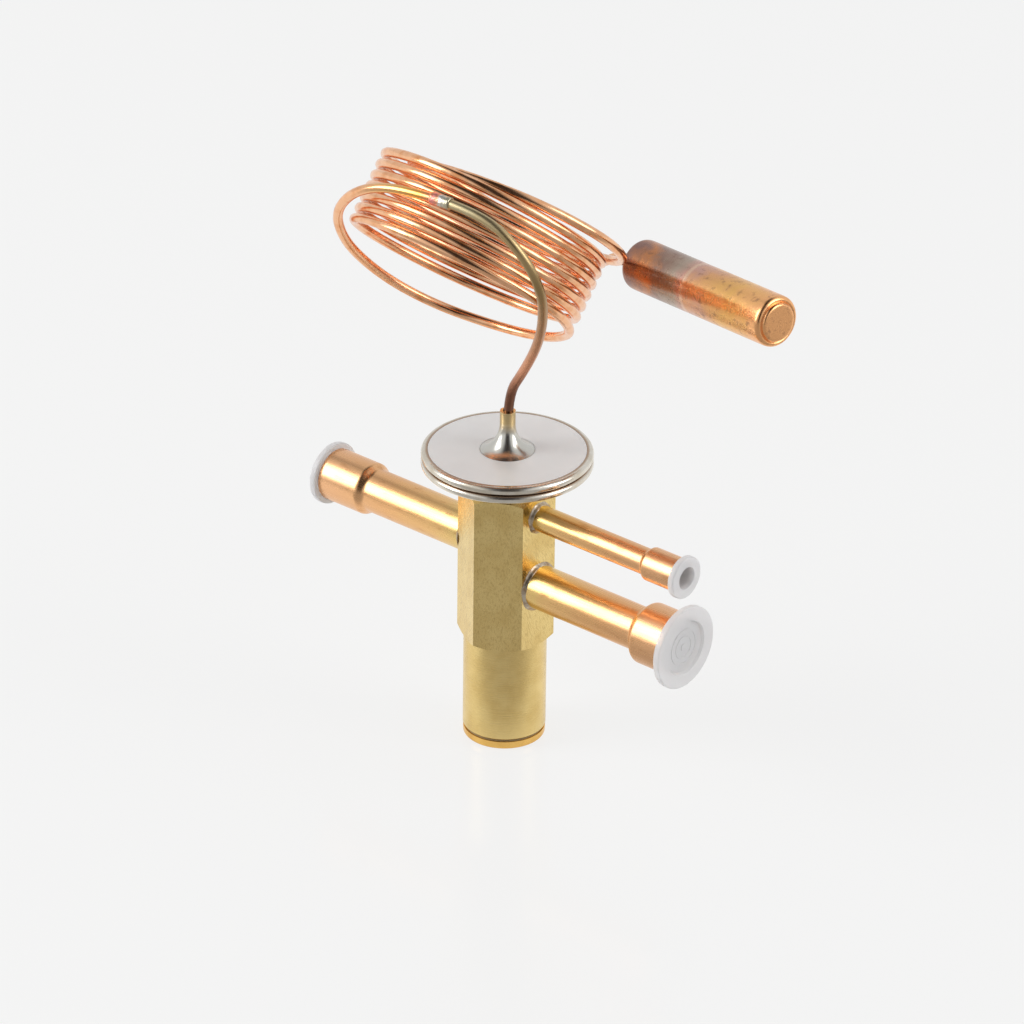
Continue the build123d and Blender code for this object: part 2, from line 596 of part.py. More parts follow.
with BuildPart() as buffer_plate:
    with BuildSketch(Plane.XY.offset(BUFFER_BOTTOM)):
        Circle(BUFFER_RADIUS)
    extrude(amount=BUFFER_THICKNESS)
    fillet(buffer_plate.edges().group_by(Axis.Z)[-1], BUFFER_ROUND)
    with BuildSketch(Plane.XY.offset(BOSS_BOTTOM)):
        Circle(BUFFER_BOSS_RADIUS)
    extrude(amount=BUFFER_BOSS_HEIGHT)
    with BuildSketch(Plane.XY.offset(BOSS_BOTTOM)):
        Circle(ROD_RADIUS + JOINED_FIT)
    extrude(amount=ROD_SOCKET_DEPTH, mode=Mode.SUBTRACT)
buffer_plate.part.label = "buffer_plate"
export_step(buffer_plate.part, "parts/buffer_plate.step")

# ================================================================ power head
# Pressed lower housing: a flat neck on the hexagon, a dished wall and a rolled rim
# that clamps the diaphragm against the upper housing.
with BuildPart() as lower_housing:
    neck_top = HEX_TOP + HOUSING_NECK_HEIGHT
    floor_height = HEX_TOP + HOUSING_WALL
    bead_bottom = HEAD_SEAM_HEIGHT - LOWER_BEAD_THICKNESS
    bead_round = LOWER_BEAD_THICKNESS * BEAD_ROUND_SHARE
    with BuildSketch(Plane.XZ):
        with BuildLine():
            Polyline(
                (EQUALISER_CHAMBER_RADIUS, HEX_TOP),
                (HOUSING_NECK_RADIUS, HEX_TOP),
                (HOUSING_NECK_RADIUS, neck_top),
                (HEAD_RADIUS - LOWER_BEAD_THICKNESS, bead_bottom),
                (HEAD_RADIUS, bead_bottom),
                (HEAD_RADIUS, HEAD_SEAM_HEIGHT),
                (CLAMP_INNER_RADIUS, HEAD_SEAM_HEIGHT),
                (CLAMP_INNER_RADIUS, bead_bottom + HOUSING_WALL),
                (HOUSING_FLOOR_RADIUS, floor_height + HOUSING_WALL),
                (EQUALISER_CHAMBER_RADIUS, floor_height + HOUSING_WALL),
                close=True,
            )
        make_face()
        fillet(vertices().filter_by_position(Axis.X, HEAD_RADIUS - REST_GAP, HEAD_RADIUS), bead_round)
    revolve(axis=Axis.Z)
lower_housing.part.label = "lower_housing"
export_step(lower_housing.part, "parts/lower_housing.step")

# Upper housing: a shallow cup turned down over the diaphragm, with a recess for the
# rating plate and a hole for the charge ferrule.
with BuildPart() as upper_housing:
    bead_top = HEAD_SEAM_TOP + UPPER_BEAD_THICKNESS
    bead_round = UPPER_BEAD_THICKNESS * BEAD_ROUND_SHARE
    with BuildSketch(Plane.XZ):
        with BuildLine():
            Polyline(
                (FERRULE_SPIGOT_RADIUS + JOINED_FIT, PLATE_TOP),
                (FERRULE_SPIGOT_RADIUS + JOINED_FIT, HEAD_SEAM_TOP + UPPER_CAVITY_HEIGHT),
                (CLAMP_INNER_RADIUS - UPPER_CAVITY_HEIGHT, HEAD_SEAM_TOP + UPPER_CAVITY_HEIGHT),
                (CLAMP_INNER_RADIUS, HEAD_SEAM_TOP),
                (HEAD_RADIUS, HEAD_SEAM_TOP),
                (HEAD_RADIUS, bead_top),
                (LABEL_RADIUS + RUNNING_FIT, bead_top),
                (LABEL_RADIUS + RUNNING_FIT, PLATE_TOP),
                close=True,
            )
        make_face()
        fillet(vertices().filter_by_position(Axis.X, HEAD_RADIUS - REST_GAP, HEAD_RADIUS), bead_round)
    revolve(axis=Axis.Z)
upper_housing.part.label = "upper_housing"
export_step(upper_housing.part, "parts/upper_housing.step")

# Thin steel diaphragm: flat where it is clamped and over the buffer plate, with round
# corrugations between the two.
with BuildPart() as diaphragm:
    wave_start = BUFFER_RADIUS
    wave_length = (CLAMP_INNER_RADIUS - BUFFER_RADIUS) / DIAPHRAGM_WAVES
    with BuildSketch(Plane.XZ):
        with BuildLine():
            for face in (HEAD_SEAM_HEIGHT, HEAD_SEAM_TOP):
                Line((0, face), (wave_start, face))
                for wave in range(DIAPHRAGM_WAVES):
                    start = wave_start + wave * wave_length
                    crest = face - DIAPHRAGM_WAVE_HEIGHT
                    ThreePointArc(
                        (start, face), (start + wave_length / 2, crest), (start + wave_length, face)
                    )
                Line((CLAMP_INNER_RADIUS, face), (DIAPHRAGM_RADIUS, face))
            Line((0, HEAD_SEAM_HEIGHT), (0, HEAD_SEAM_TOP))
            Line((DIAPHRAGM_RADIUS, HEAD_SEAM_HEIGHT), (DIAPHRAGM_RADIUS, HEAD_SEAM_TOP))
        make_face()
    revolve(axis=Axis.Z)
diaphragm.part.label = "diaphragm"
export_step(diaphragm.part, "parts/diaphragm.step")

with BuildPart() as rating_plate:
    with BuildSketch(Plane.XY.offset(PLATE_TOP)):
        Circle(LABEL_RADIUS)
        Circle(FERRULE_BASE_RADIUS + REST_GAP, mode=Mode.SUBTRACT)
    extrude(amount=LABEL_THICKNESS)
rating_plate.part.label = "rating_plate"
export_step(rating_plate.part, "parts/rating_plate.step")

# Trumpet-shaped ferrule that carries the capillary into the chamber over the diaphragm.
with BuildPart() as charge_ferrule:
    with BuildSketch(Plane.XZ):
        with BuildLine():
            flare = TangentArc(
                (FERRULE_NECK_RADIUS, NECK_HEIGHT),
                (FERRULE_BASE_RADIUS, LABEL_TOP),
                tangent=(0, -1),
            )
            Polyline(
                flare @ 1,
                (FERRULE_BASE_RADIUS, PLATE_TOP),
                (FERRULE_SPIGOT_RADIUS, PLATE_TOP),
                (FERRULE_SPIGOT_RADIUS, PLATE_TOP - UPPER_PLATE_THICKNESS),
                (CHARGE_HOLE_RADIUS, PLATE_TOP - UPPER_PLATE_THICKNESS),
                (CHARGE_HOLE_RADIUS, CAPILLARY_START),
                (CAPILLARY_RADIUS + JOINED_FIT, CAPILLARY_START),
                (CAPILLARY_RADIUS + JOINED_FIT, FERRULE_TOP),
                (FERRULE_NECK_RADIUS, FERRULE_TOP),
                flare @ 0,
            )
        make_face()
    revolve(axis=Axis.Z)
charge_ferrule.part.label = "charge_ferrule"
export_step(charge_ferrule.part, "parts/charge_ferrule.step")


# ================================================================ connections
def connection(label, side, tube_radius, wall, pipe_radius, reach, depth, shoulder):
    """Copper tube from its pocket to its mouth, with the end swaged out to a socket."""
    bore = tube_radius - wall
    socket = pipe_radius + SOCKET_CLEARANCE
    swage = reach - depth
    swage_start = swage - shoulder
    mouth_end = reach - PLUG_STEM_LENGTH - FREE_GAP
    with BuildPart() as tube:
        with BuildSketch(side):
            with BuildLine():
                outside = Spline(
                    (swage_start, tube_radius),
                    (swage, socket + wall),
                    tangents=((1, 0), (1, 0)),
                )
                inside = Spline(
                    (swage_start, bore),
                    (swage, socket),
                    tangents=((1, 0), (1, 0)),
                )
                Polyline(
                    outside @ 1,
                    (reach, socket + wall),
                    (reach, socket + MOUTH_EASE),
                    (mouth_end, socket + MOUTH_EASE),
                    (mouth_end, socket),
                    inside @ 1,
                )
                Polyline(inside @ 0, (POCKET_START, bore), (POCKET_START, tube_radius), outside @ 0)
            make_face()
        revolve(axis=Axis(side.origin, side.x_dir))
    tube.part.label = label
    export_step(tube.part, f"parts/{label}.step")


def braze_ring(label, side, tube_radius):
    """Hollow-faced ring of solder where a tube leaves the hexagon."""
    with BuildPart() as ring:
        with BuildSketch(side):
            with BuildLine():
                foot = (HEX_FACE, tube_radius + JOINED_FIT)
                face_edge = (HEX_FACE, tube_radius + BRAZE_LEG)
                tube_edge = (HEX_FACE + BRAZE_LEG, tube_radius + JOINED_FIT)
                Polyline(tube_edge, foot, face_edge)
                RadiusArc(face_edge, tube_edge, BRAZE_FACE_RADIUS)
            make_face()
        revolve(axis=Axis(side.origin, side.x_dir))
    ring.part.label = label
    export_step(ring.part, f"parts/{label}.step")


def turned_plug(label, side, outline, ridges):
    """Turned plug: an outline in a connection's plane, with raised rings on its face."""
    with BuildPart() as plug:
        with BuildSketch(side):
            with BuildLine():
                Polyline(*outline, close=True)
            make_face()
            for place, inner, outer in ridges:
                with Locations((place, (inner + outer) / 2)):
                    Rectangle(2 * DISH_RIDGE_HEIGHT, outer - inner)
        revolve(axis=Axis(side.origin, side.x_dir))
        brim = plug.edges().filter_by(GeomType.CIRCLE).sort_by(SortBy.RADIUS)[-2:]
        fillet(brim, PLUG_BRIM_ROUND)
    plug.part.label = label
    export_step(plug.part, f"parts/{label}.step")


def dished_plug(label, side, pipe_radius, reach, flange_radius):
    """Plug whose stem opens inwards, with a ringed dish and a gate nub in its face."""
    stem_radius = pipe_radius + SOCKET_CLEARANCE + MOUTH_EASE - RUNNING_FIT
    stem_bore = stem_radius - PLUG_WALL
    dish_radius = stem_radius + REST_GAP
    stem_end = reach - PLUG_STEM_LENGTH
    back = reach + REST_GAP
    front = back + PLUG_FLANGE_THICKNESS
    dish = front - DISH_DEPTH
    outline = [
        (stem_end, stem_bore),
        (stem_end, stem_radius),
        (back, stem_radius),
        (back, flange_radius),
        (front, flange_radius),
        (front, dish_radius),
        (dish, dish_radius - DISH_DEPTH / 2),
        (dish, 0),
        (back, 0),
        (back, stem_bore),
    ]
    ridges = [(dish, 0, GATE_NUB_RADIUS)]
    ridge = GATE_NUB_RADIUS + DISH_RIDGE_SPACING
    while ridge < dish_radius - DISH_DEPTH - DISH_RIDGE_WIDTH:
        ridges.append((dish, ridge, ridge + DISH_RIDGE_WIDTH))
        ridge += DISH_RIDGE_SPACING
    turned_plug(label, side, outline, ridges)


def hollow_plug(label, side, pipe_radius, reach, flange_radius):
    """Plug whose stem is hollow from its face down to a thin end inside the tube."""
    stem_radius = pipe_radius + SOCKET_CLEARANCE + MOUTH_EASE - RUNNING_FIT
    stem_bore = stem_radius - PLUG_WALL
    stem_end = reach - PLUG_STEM_LENGTH
    back = reach + REST_GAP
    front = back + PLUG_FLANGE_THICKNESS
    outline = [
        (stem_end, 0),
        (stem_end, stem_radius),
        (back, stem_radius),
        (back, flange_radius),
        (front, flange_radius),
        (front, stem_bore),
        (stem_end + PLUG_WALL, stem_bore),
        (stem_end + PLUG_WALL, 0),
    ]
    turned_plug(label, side, outline, [])


inlet_side = along_x(-1, INLET_HEIGHT)
outlet_side = along_x(1, OUTLET_HEIGHT)
equaliser_side = along_x(1, EQUALISER_HEIGHT)

connection(
    "inlet_tube",
    inlet_side,
    INLET_OUTER_RADIUS,
    INLET_WALL,
    INLET_PIPE_RADIUS,
    INLET_REACH,
    INLET_SOCKET_DEPTH,
    INLET_SHOULDER,
)
connection(
    "outlet_tube",
    outlet_side,
    OUTLET_OUTER_RADIUS,
    OUTLET_WALL,
    OUTLET_PIPE_RADIUS,
    OUTLET_REACH,
    OUTLET_SOCKET_DEPTH,
    OUTLET_SHOULDER,
)
connection(
    "equaliser_tube",
    equaliser_side,
    EQUALISER_OUTER_RADIUS,
    EQUALISER_WALL,
    EQUALISER_PIPE_RADIUS,
    EQUALISER_REACH,
    EQUALISER_SOCKET_DEPTH,
    EQUALISER_SHOULDER,
)
braze_ring("inlet_braze", inlet_side, INLET_OUTER_RADIUS)
braze_ring("outlet_braze", outlet_side, OUTLET_OUTER_RADIUS)
braze_ring("equaliser_braze", equaliser_side, EQUALISER_OUTER_RADIUS)
dished_plug("inlet_plug", inlet_side, INLET_PIPE_RADIUS, INLET_REACH, INLET_FLANGE_RADIUS)
dished_plug("outlet_plug", outlet_side, OUTLET_PIPE_RADIUS, OUTLET_REACH, OUTLET_FLANGE_RADIUS)
hollow_plug(
    "equaliser_plug",
    equaliser_side,
    EQUALISER_PIPE_RADIUS,
    EQUALISER_REACH,
    EQUALISER_FLANGE_RADIUS,
)

# Thimble strainer inside the inlet tube, its rim at the bottom of the tube's pocket.
with BuildPart() as inlet_strainer:
    strainer_end = POCKET_START + STRAINER_LENGTH
    strainer_bore = STRAINER_RADIUS - STRAINER_WALL
    rim_radius = INLET_OUTER_RADIUS - INLET_WALL - JOINED_FIT
    with BuildSketch(inlet_side):
        with BuildLine():
            Polyline(
                (POCKET_START, strainer_bore),
                (POCKET_START, rim_radius),
                (POCKET_START + STRAINER_RIM, rim_radius),
                (POCKET_START + STRAINER_RIM, STRAINER_RADIUS),
                (strainer_end, STRAINER_RADIUS),
                (strainer_end, 0),
                (strainer_end - STRAINER_WALL, 0),
                (strainer_end - STRAINER_WALL, strainer_bore),
                close=True,
            )
        make_face()
    revolve(axis=Axis(inlet_side.origin, inlet_side.x_dir))
    row_step = (STRAINER_LENGTH - STRAINER_RIM) / (STRAINER_ROWS + 1)
    for row in range(STRAINER_ROWS):
        row_place = -(POCKET_START + STRAINER_RIM + (row + 1) * row_step)
        for hole in range(STRAINER_HOLES):
            angle = 2 * pi * hole / STRAINER_HOLES
            outward = (0, cos(angle), sin(angle))
            with BuildSketch(Plane(origin=(row_place, 0, INLET_HEIGHT), z_dir=outward)):
                Circle(STRAINER_HOLE_RADIUS)
            extrude(amount=STRAINER_RADIUS + REST_GAP, mode=Mode.SUBTRACT)
inlet_strainer.part.label = "inlet_strainer"
export_step(inlet_strainer.part, "parts/inlet_strainer.step")

# ================================================================ capillary
# Lead from the ferrule to the brazed joint, then the coil: a wide first turn, the
# regular turns and a last turn that dips inside the coil and swings out to the bulb.
lead_points = [Vector(0, 0, CAPILLARY_START), Vector(0, 0, FERRULE_TOP + LEAD_STRAIGHT)]
lead_points += [route_point(*place) for place in LEAD_ROUTE]
first_turn = [turn_point(*place) for place in FIRST_TURN]
joint_centre = (lead_points[-1] + first_turn[0]) / 2

corner_step = 360 / CORNERS_PER_TURN
coil_corner_radius = COIL_RADIUS / cos(pi / CORNERS_PER_TURN)
regular_turns = []
for corner in range(COIL_CORNERS):
    turned = COIL_FIRST_CORNER + corner * corner_step
    height = COIL_BASE + COIL_PITCH * turned / 360
    regular_turns.append(coil_point(turned, coil_corner_radius, height))
last_turn = [turn_point(*place) for place in LAST_TURN]
neck_tip = BULB_START - BULB_AXIS * BULB_NECK_LENGTH
bulb_run = [route_point(*place) for place in BULB_ROUTE]
bulb_run += [neck_tip - BULB_AXIS * BULB_APPROACH, neck_tip]

capillary_lead = bent_rod("capillary_lead", lead_points + [joint_centre], CAPILLARY_RADIUS)
export_step(capillary_lead, "parts/capillary_lead.step")
capillary_coil = bent_rod(
    "capillary_coil",
    [joint_centre] + first_turn + regular_turns + last_turn + bulb_run,
    CAPILLARY_RADIUS,
)
export_step(capillary_coil, "parts/capillary_coil.step")

with BuildPart() as capillary_joint:
    joint_axis = (first_turn[0] - lead_points[-1]).normalized()
    sleeve_start = joint_centre - joint_axis * (SLEEVE_LENGTH / 2)
    with BuildSketch(Plane(origin=sleeve_start, z_dir=joint_axis)):
        Circle(CAPILLARY_RADIUS + JOINED_FIT + SLEEVE_WALL)
        Circle(CAPILLARY_RADIUS + JOINED_FIT, mode=Mode.SUBTRACT)
    extrude(amount=SLEEVE_LENGTH)
    sleeve_rims = capillary_joint.edges().filter_by(GeomType.CIRCLE).sort_by(SortBy.RADIUS)[-2:]
    fillet(sleeve_rims, SLEEVE_ROUND)
capillary_joint.part.label = "capillary_joint"
export_step(capillary_joint.part, "parts/capillary_joint.step")

# ================================================================ bulb
# Copper shell with a spun neck for the capillary and a rim rolled over a pressed end
# disc, whose raised button stands out of the rim.
bulb_side = Plane(origin=BULB_START, x_dir=BULB_AXIS, z_dir=BULB_AXIS.cross(Vector(0, 0, 1)))
bulb_line = Axis(BULB_START, BULB_AXIS)
bulb_bore = BULB_RADIUS - BULB_WALL
with BuildPart() as bulb_shell:
    with BuildSketch(bulb_side):
        with BuildLine():
            Polyline(
                (-BULB_NECK_LENGTH, CHARGE_HOLE_RADIUS),
                (-BULB_NECK_LENGTH, CAPILLARY_RADIUS + BULB_NECK_WALL),
                (0, BULB_NECK_ROOT_RADIUS),
                (0, BULB_RADIUS),
                (BULB_LENGTH, BULB_RADIUS),
                (BULB_LENGTH, BUTTON_RADIUS + JOINED_FIT),
                (BULB_LENGTH - BULB_WALL, BUTTON_RADIUS + JOINED_FIT),
                (BULB_LENGTH - BULB_WALL, bulb_bore),
                (BULB_WALL, bulb_bore),
                (BULB_WALL, CHARGE_HOLE_RADIUS),
                close=True,
            )
        make_face()
    revolve(axis=bulb_line)
    end_faces = bulb_shell.faces().filter_by(GeomType.PLANE).sort_by(bulb_line)
    end_rim = end_faces[-1].edges().sort_by(SortBy.RADIUS)[-1]
    fillet(end_rim, BULB_END_ROUND)
    shoulder_rims = bulb_shell.edges().filter_by(GeomType.CIRCLE).sort_by(SortBy.RADIUS)[-2:]
    fillet(shoulder_rims.sort_by(bulb_line)[0], BULB_SHOULDER_ROUND)
bulb_shell.part.label = "bulb_shell"
export_step(bulb_shell.part, "parts/bulb_shell.step")

with BuildPart() as bulb_end:
    disc_back = BULB_LENGTH - 2 * BULB_WALL - JOINED_FIT
    disc_front = BULB_LENGTH - BULB_WALL - JOINED_FIT
    with BuildSketch(bulb_side):
        with BuildLine():
            Polyline(
                (disc_back, 0),
                (disc_back, bulb_bore - JOINED_FIT),
                (disc_front, bulb_bore - JOINED_FIT),
                (disc_front, BUTTON_RADIUS),
                (BULB_LENGTH + BUTTON_HEIGHT, BUTTON_RADIUS),
                (BULB_LENGTH + BUTTON_HEIGHT, 0),
                close=True,
            )
        make_face()
    revolve(axis=bulb_line)
    button_face = bulb_end.faces().filter_by(GeomType.PLANE).sort_by(bulb_line)[-1]
    fillet(button_face.edges(), BUTTON_ROUND)
bulb_end.part.label = "bulb_end"
export_step(bulb_end.part, "parts/bulb_end.step")
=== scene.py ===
from math import cos, pi, radians, sin

import bpy
from mathutils import Matrix, Vector


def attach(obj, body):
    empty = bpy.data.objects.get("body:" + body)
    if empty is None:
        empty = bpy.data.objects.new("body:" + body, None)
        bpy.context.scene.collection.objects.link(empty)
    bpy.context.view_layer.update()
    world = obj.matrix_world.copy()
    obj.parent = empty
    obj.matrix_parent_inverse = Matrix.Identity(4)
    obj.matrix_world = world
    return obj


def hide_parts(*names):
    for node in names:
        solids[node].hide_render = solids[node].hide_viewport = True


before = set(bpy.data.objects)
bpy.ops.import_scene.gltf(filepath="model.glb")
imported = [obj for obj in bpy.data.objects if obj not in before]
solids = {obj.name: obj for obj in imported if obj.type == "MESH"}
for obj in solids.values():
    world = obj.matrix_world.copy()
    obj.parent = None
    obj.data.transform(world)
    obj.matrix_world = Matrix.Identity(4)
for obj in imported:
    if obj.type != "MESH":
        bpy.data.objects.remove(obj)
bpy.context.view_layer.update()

# ---------------------------------------------------------------- table and lights
# The valve stands on its seal cap on a plain pale table top of polished acrylic, in a pale
# room with large soft boxes to its left and right. The room and the table are dark in
# front, as a tall screen round the camera would make them, but only where the metal sees it.
table_grey = (0.965, 0.965, 0.96, 1.0)
table_share = 0.8  # of the plain grey, over the lit table with its shadow
screen_across = (0.75687, 0.65346, 0.01125)
screen_forward = (0.57356, -0.67238, 0.4679)
screen_shade = (0.10, 0.09, 0.085, 1.0)  # of the table, where the metal shows the screen
screen_black = (0.035, 0.03, 0.03, 1.0)
room_white = (0.74, 0.75, 0.77, 1.0)
lamp_target = Vector((0, 0, 0.07))

table_mesh = bpy.data.meshes.new("table_top")
table_mesh.from_pydata(
    [(-9, -9, 0), (9, -9, 0), (9, 9, 0), (-9, 9, 0)], [], [(0, 1, 2, 3)]
)
table_top = bpy.data.objects.new("table_top", table_mesh)
bpy.context.scene.collection.objects.link(table_top)
table_finish = bpy.data.materials.new("pale_acrylic")
table_finish.use_nodes = True
table_nodes = table_finish.node_tree.nodes
table_links = table_finish.node_tree.links
table_shader = table_nodes["Principled BSDF"]
table_shader.inputs["Base Color"].default_value = (0.84, 0.84, 0.84, 1.0)
table_shader.inputs["Roughness"].default_value = 0.16
table_shader.inputs["Specular IOR Level"].default_value = 0.6
plain_grey = table_nodes.new("ShaderNodeEmission")
ray = table_nodes.new("ShaderNodeLightPath")
table_place = table_nodes.new("ShaderNodeTexCoord")
towards_screen = table_nodes.new("ShaderNodeVectorMath")
towards_screen.operation = "DOT_PRODUCT"
table_links.new(table_place.outputs["Object"], towards_screen.inputs[0])
towards_screen.inputs[1].default_value = screen_forward
under_screen = table_nodes.new("ShaderNodeMapRange")
under_screen.inputs["From Min"].default_value = -0.005
under_screen.inputs["From Max"].default_value = 0.03
under_screen.inputs["To Max"].default_value = 0.66
table_links.new(towards_screen.outputs["Value"], under_screen.inputs["Value"])
in_metal = table_nodes.new("ShaderNodeMath")
in_metal.operation = "MULTIPLY"
table_links.new(under_screen.outputs["Result"], in_metal.inputs[0])
table_links.new(ray.outputs["Is Glossy Ray"], in_metal.inputs[1])
table_colour = table_nodes.new("ShaderNodeMix")
table_colour.data_type = "RGBA"
table_links.new(in_metal.outputs["Value"], table_colour.inputs[0])
table_colour.inputs[6].default_value = table_grey
table_colour.inputs[7].default_value = screen_shade
table_links.new(table_colour.outputs[2], plain_grey.inputs["Color"])
seen = table_nodes.new("ShaderNodeMath")
seen.operation = "MAXIMUM"
table_links.new(ray.outputs["Is Camera Ray"], seen.inputs[0])
table_links.new(ray.outputs["Is Glossy Ray"], seen.inputs[1])
seen_through = table_nodes.new("ShaderNodeMath")
seen_through.operation = "MAXIMUM"
table_links.new(seen.outputs["Value"], seen_through.inputs[0])
table_links.new(ray.outputs["Is Transmission Ray"], seen_through.inputs[1])
plain_share = table_nodes.new("ShaderNodeMath")
plain_share.operation = "MULTIPLY"
table_links.new(seen_through.outputs["Value"], plain_share.inputs[0])
plain_share.inputs[1].default_value = table_share
table_surface = table_nodes.new("ShaderNodeMixShader")
table_links.new(plain_share.outputs["Value"], table_surface.inputs[0])
table_links.new(table_shader.outputs["BSDF"], table_surface.inputs[1])
table_links.new(plain_grey.outputs["Emission"], table_surface.inputs[2])
table_links.new(table_surface.outputs["Shader"], table_nodes["Material Output"].inputs["Surface"])
table_mesh.materials.append(table_finish)

world = bpy.data.worlds.new("pale_room")
bpy.context.scene.world = world
world.use_nodes = True
room_nodes = world.node_tree.nodes
room_links = world.node_tree.links
heading = room_nodes.new("ShaderNodeTexCoord")
to_side = room_nodes.new("ShaderNodeVectorMath")
to_side.operation = "DOT_PRODUCT"
room_links.new(heading.outputs["Generated"], to_side.inputs[0])
to_side.inputs[1].default_value = screen_across
off_middle = room_nodes.new("ShaderNodeMath")
off_middle.operation = "ABSOLUTE"
room_links.new(to_side.outputs["Value"], off_middle.inputs[0])
past_edge = room_nodes.new("ShaderNodeMapRange")
past_edge.inputs["From Min"].default_value = 0.26
past_edge.inputs["From Max"].default_value = 0.5
room_links.new(off_middle.outputs["Value"], past_edge.inputs["Value"])
to_front = room_nodes.new("ShaderNodeVectorMath")
to_front.operation = "DOT_PRODUCT"
room_links.new(heading.outputs["Generated"], to_front.inputs[0])
to_front.inputs[1].default_value = screen_forward
behind_it = room_nodes.new("ShaderNodeMapRange")
behind_it.inputs["From Min"].default_value = 0.1
behind_it.inputs["From Max"].default_value = -0.25
room_links.new(to_front.outputs["Value"], behind_it.inputs["Value"])
off_screen = room_nodes.new("ShaderNodeMath")
off_screen.operation = "MAXIMUM"
room_links.new(past_edge.outputs["Result"], off_screen.inputs[0])
room_links.new(behind_it.outputs["Result"], off_screen.inputs[1])
room_colour = room_nodes.new("ShaderNodeMix")
room_colour.data_type = "RGBA"
room_links.new(off_screen.outputs["Value"], room_colour.inputs[0])
room_colour.inputs[6].default_value = screen_black
room_colour.inputs[7].default_value = room_white
room_links.new(room_colour.outputs[2], room_nodes["Background"].inputs["Color"])
room_nodes["Background"].inputs["Strength"].default_value = 1.0

for name, place, width, height, power in (
    ("left_soft_box", (-0.75, -0.85, 0.62), 0.6, 0.9, 7.0),
    ("right_soft_box", (1.1, 0.45, 0.6), 0.6, 0.9, 5.0),
):
    lamp = bpy.data.lights.new(name, "AREA")
    lamp.shape = "RECTANGLE"
    lamp.size = width
    lamp.size_y = height
    lamp.energy = power
    holder = bpy.data.objects.new(name, lamp)
    holder.location = place
    aim = lamp_target - holder.location
    holder.rotation_euler = aim.to_track_quat("-Z", "Y").to_euler()
    bpy.context.scene.collection.objects.link(holder)

# ---------------------------------------------------------------- camera
# A long lens on a stand in front of the valve and to its right, looking down on it. Its
# place is in metres, and across, upward and backward are the directions of its axes.
camera_data = bpy.data.cameras.new("camera")
camera_data.lens = 218.08
camera_data.sensor_width = 36.0
camera_data.clip_end = 30.0
camera = bpy.data.objects.new("camera", camera_data)
bpy.context.scene.collection.objects.link(camera)
camera_place = Vector((0.78900528, -0.9231099, 0.69838648))
across = Vector((0.75687405, 0.65346393, 0.0112502))
upward = Vector((-0.31331975, 0.34768816, 0.88371018))
backward = Vector((0.57356117, -0.67238221, 0.4678993))
camera_turn = Matrix((across, upward, backward)).transposed().to_4x4()
camera.matrix_world = Matrix.Translation(camera_place) @ camera_turn
bpy.context.scene.camera = camera
bpy.context.scene.view_settings.view_transform = "Standard"

# ---------------------------------------------------------------- valve body
# One length of hexagon brass bar, turned down to a round barrel at its lower end and
# bored from both ends. The flats keep the bar's drawn skin with short tool marks, and
# the barrel and the bevels show the lathe's fine rings.
body_brass = (0.93, 0.70, 0.29, 1.0)
body_brass_dull = (0.80, 0.57, 0.21, 1.0)
stroke_brown = (0.52, 0.36, 0.13, 1.0)
barrel_height_mm = 25.4


def new_finish(name, colour, metallic, roughness):
    """Material with one shader; gives the material, its nodes, its links and the shader."""
    material = bpy.data.materials.new(name)
    material.use_nodes = True
    nodes = material.node_tree.nodes
    shader = nodes["Principled BSDF"]
    shader.inputs["Base Color"].default_value = colour
    shader.inputs["Metallic"].default_value = metallic
    shader.inputs["Roughness"].default_value = roughness
    return material, nodes, material.node_tree.links, shader


def place_in_mm(nodes, links, stretch=(1, 1, 1)):
    """Place on the piece in millimetres, times a stretch along each axis."""
    place = nodes.new("ShaderNodeTexCoord")
    scaled = nodes.new("ShaderNodeMapping")
    scaled.inputs["Scale"].default_value = [1000 * share for share in stretch]
    links.new(place.outputs["Object"], scaled.inputs["Vector"])
    return scaled.outputs["Vector"]


def slanted_place(nodes, links, turn, longer):
    """Place in millimetres, turned by angles in degrees and drawn out along its new Z."""
    place = nodes.new("ShaderNodeTexCoord")
    turned = nodes.new("ShaderNodeMapping")
    turned.vector_type = "TEXTURE"
    turned.inputs["Rotation"].default_value = [radians(angle) for angle in turn]
    turned.inputs["Scale"].default_value = (0.001, 0.001, 0.001 * longer)
    links.new(place.outputs["Object"], turned.inputs["Vector"])
    return turned.outputs["Vector"]


def grain(nodes, links, place, scale, detail=4.0):
    """Random cloudy pattern from 0 to 1; scale is in patches for each millimetre."""
    noise = nodes.new("ShaderNodeTexNoise")
    noise.inputs["Scale"].default_value = scale
    noise.inputs["Detail"].default_value = detail
    links.new(place, noise.inputs["Vector"])
    return noise.outputs["Fac"]


def ramp(nodes, links, amount, stops):
    """Colour for each amount, from stops of (amount, colour)."""
    table = nodes.new("ShaderNodeValToRGB")
    points = table.color_ramp.elements
    while len(points) < len(stops):
        points.new(1.0)
    for point, (where, colour) in zip(points, stops):
        point.position = where
        point.color = colour
    links.new(amount, table.inputs["Fac"])
    return table.outputs["Color"]


def spread(nodes, links, amount, low, high, from_low=0.0, from_high=1.0):
    """Amount carried over evenly from one range to another."""
    span = nodes.new("ShaderNodeMapRange")
    span.inputs["From Min"].default_value = from_low
    span.inputs["From Max"].default_value = from_high
    span.inputs["To Min"].default_value = low
    span.inputs["To Max"].default_value = high
    links.new(amount, span.inputs["Value"])
    return span.outputs["Result"]


def mix(nodes, links, share, first, second):
    """One colour turning into another as the share goes from 0 to 1."""
    blend = nodes.new("ShaderNodeMix")
    blend.data_type = "RGBA"
    for value, socket in ((share, 0), (first, 6), (second, 7)):
        if isinstance(value, tuple):
            blend.inputs[socket].default_value = value
        else:
            links.new(value, blend.inputs[socket])
    return blend.outputs[2]


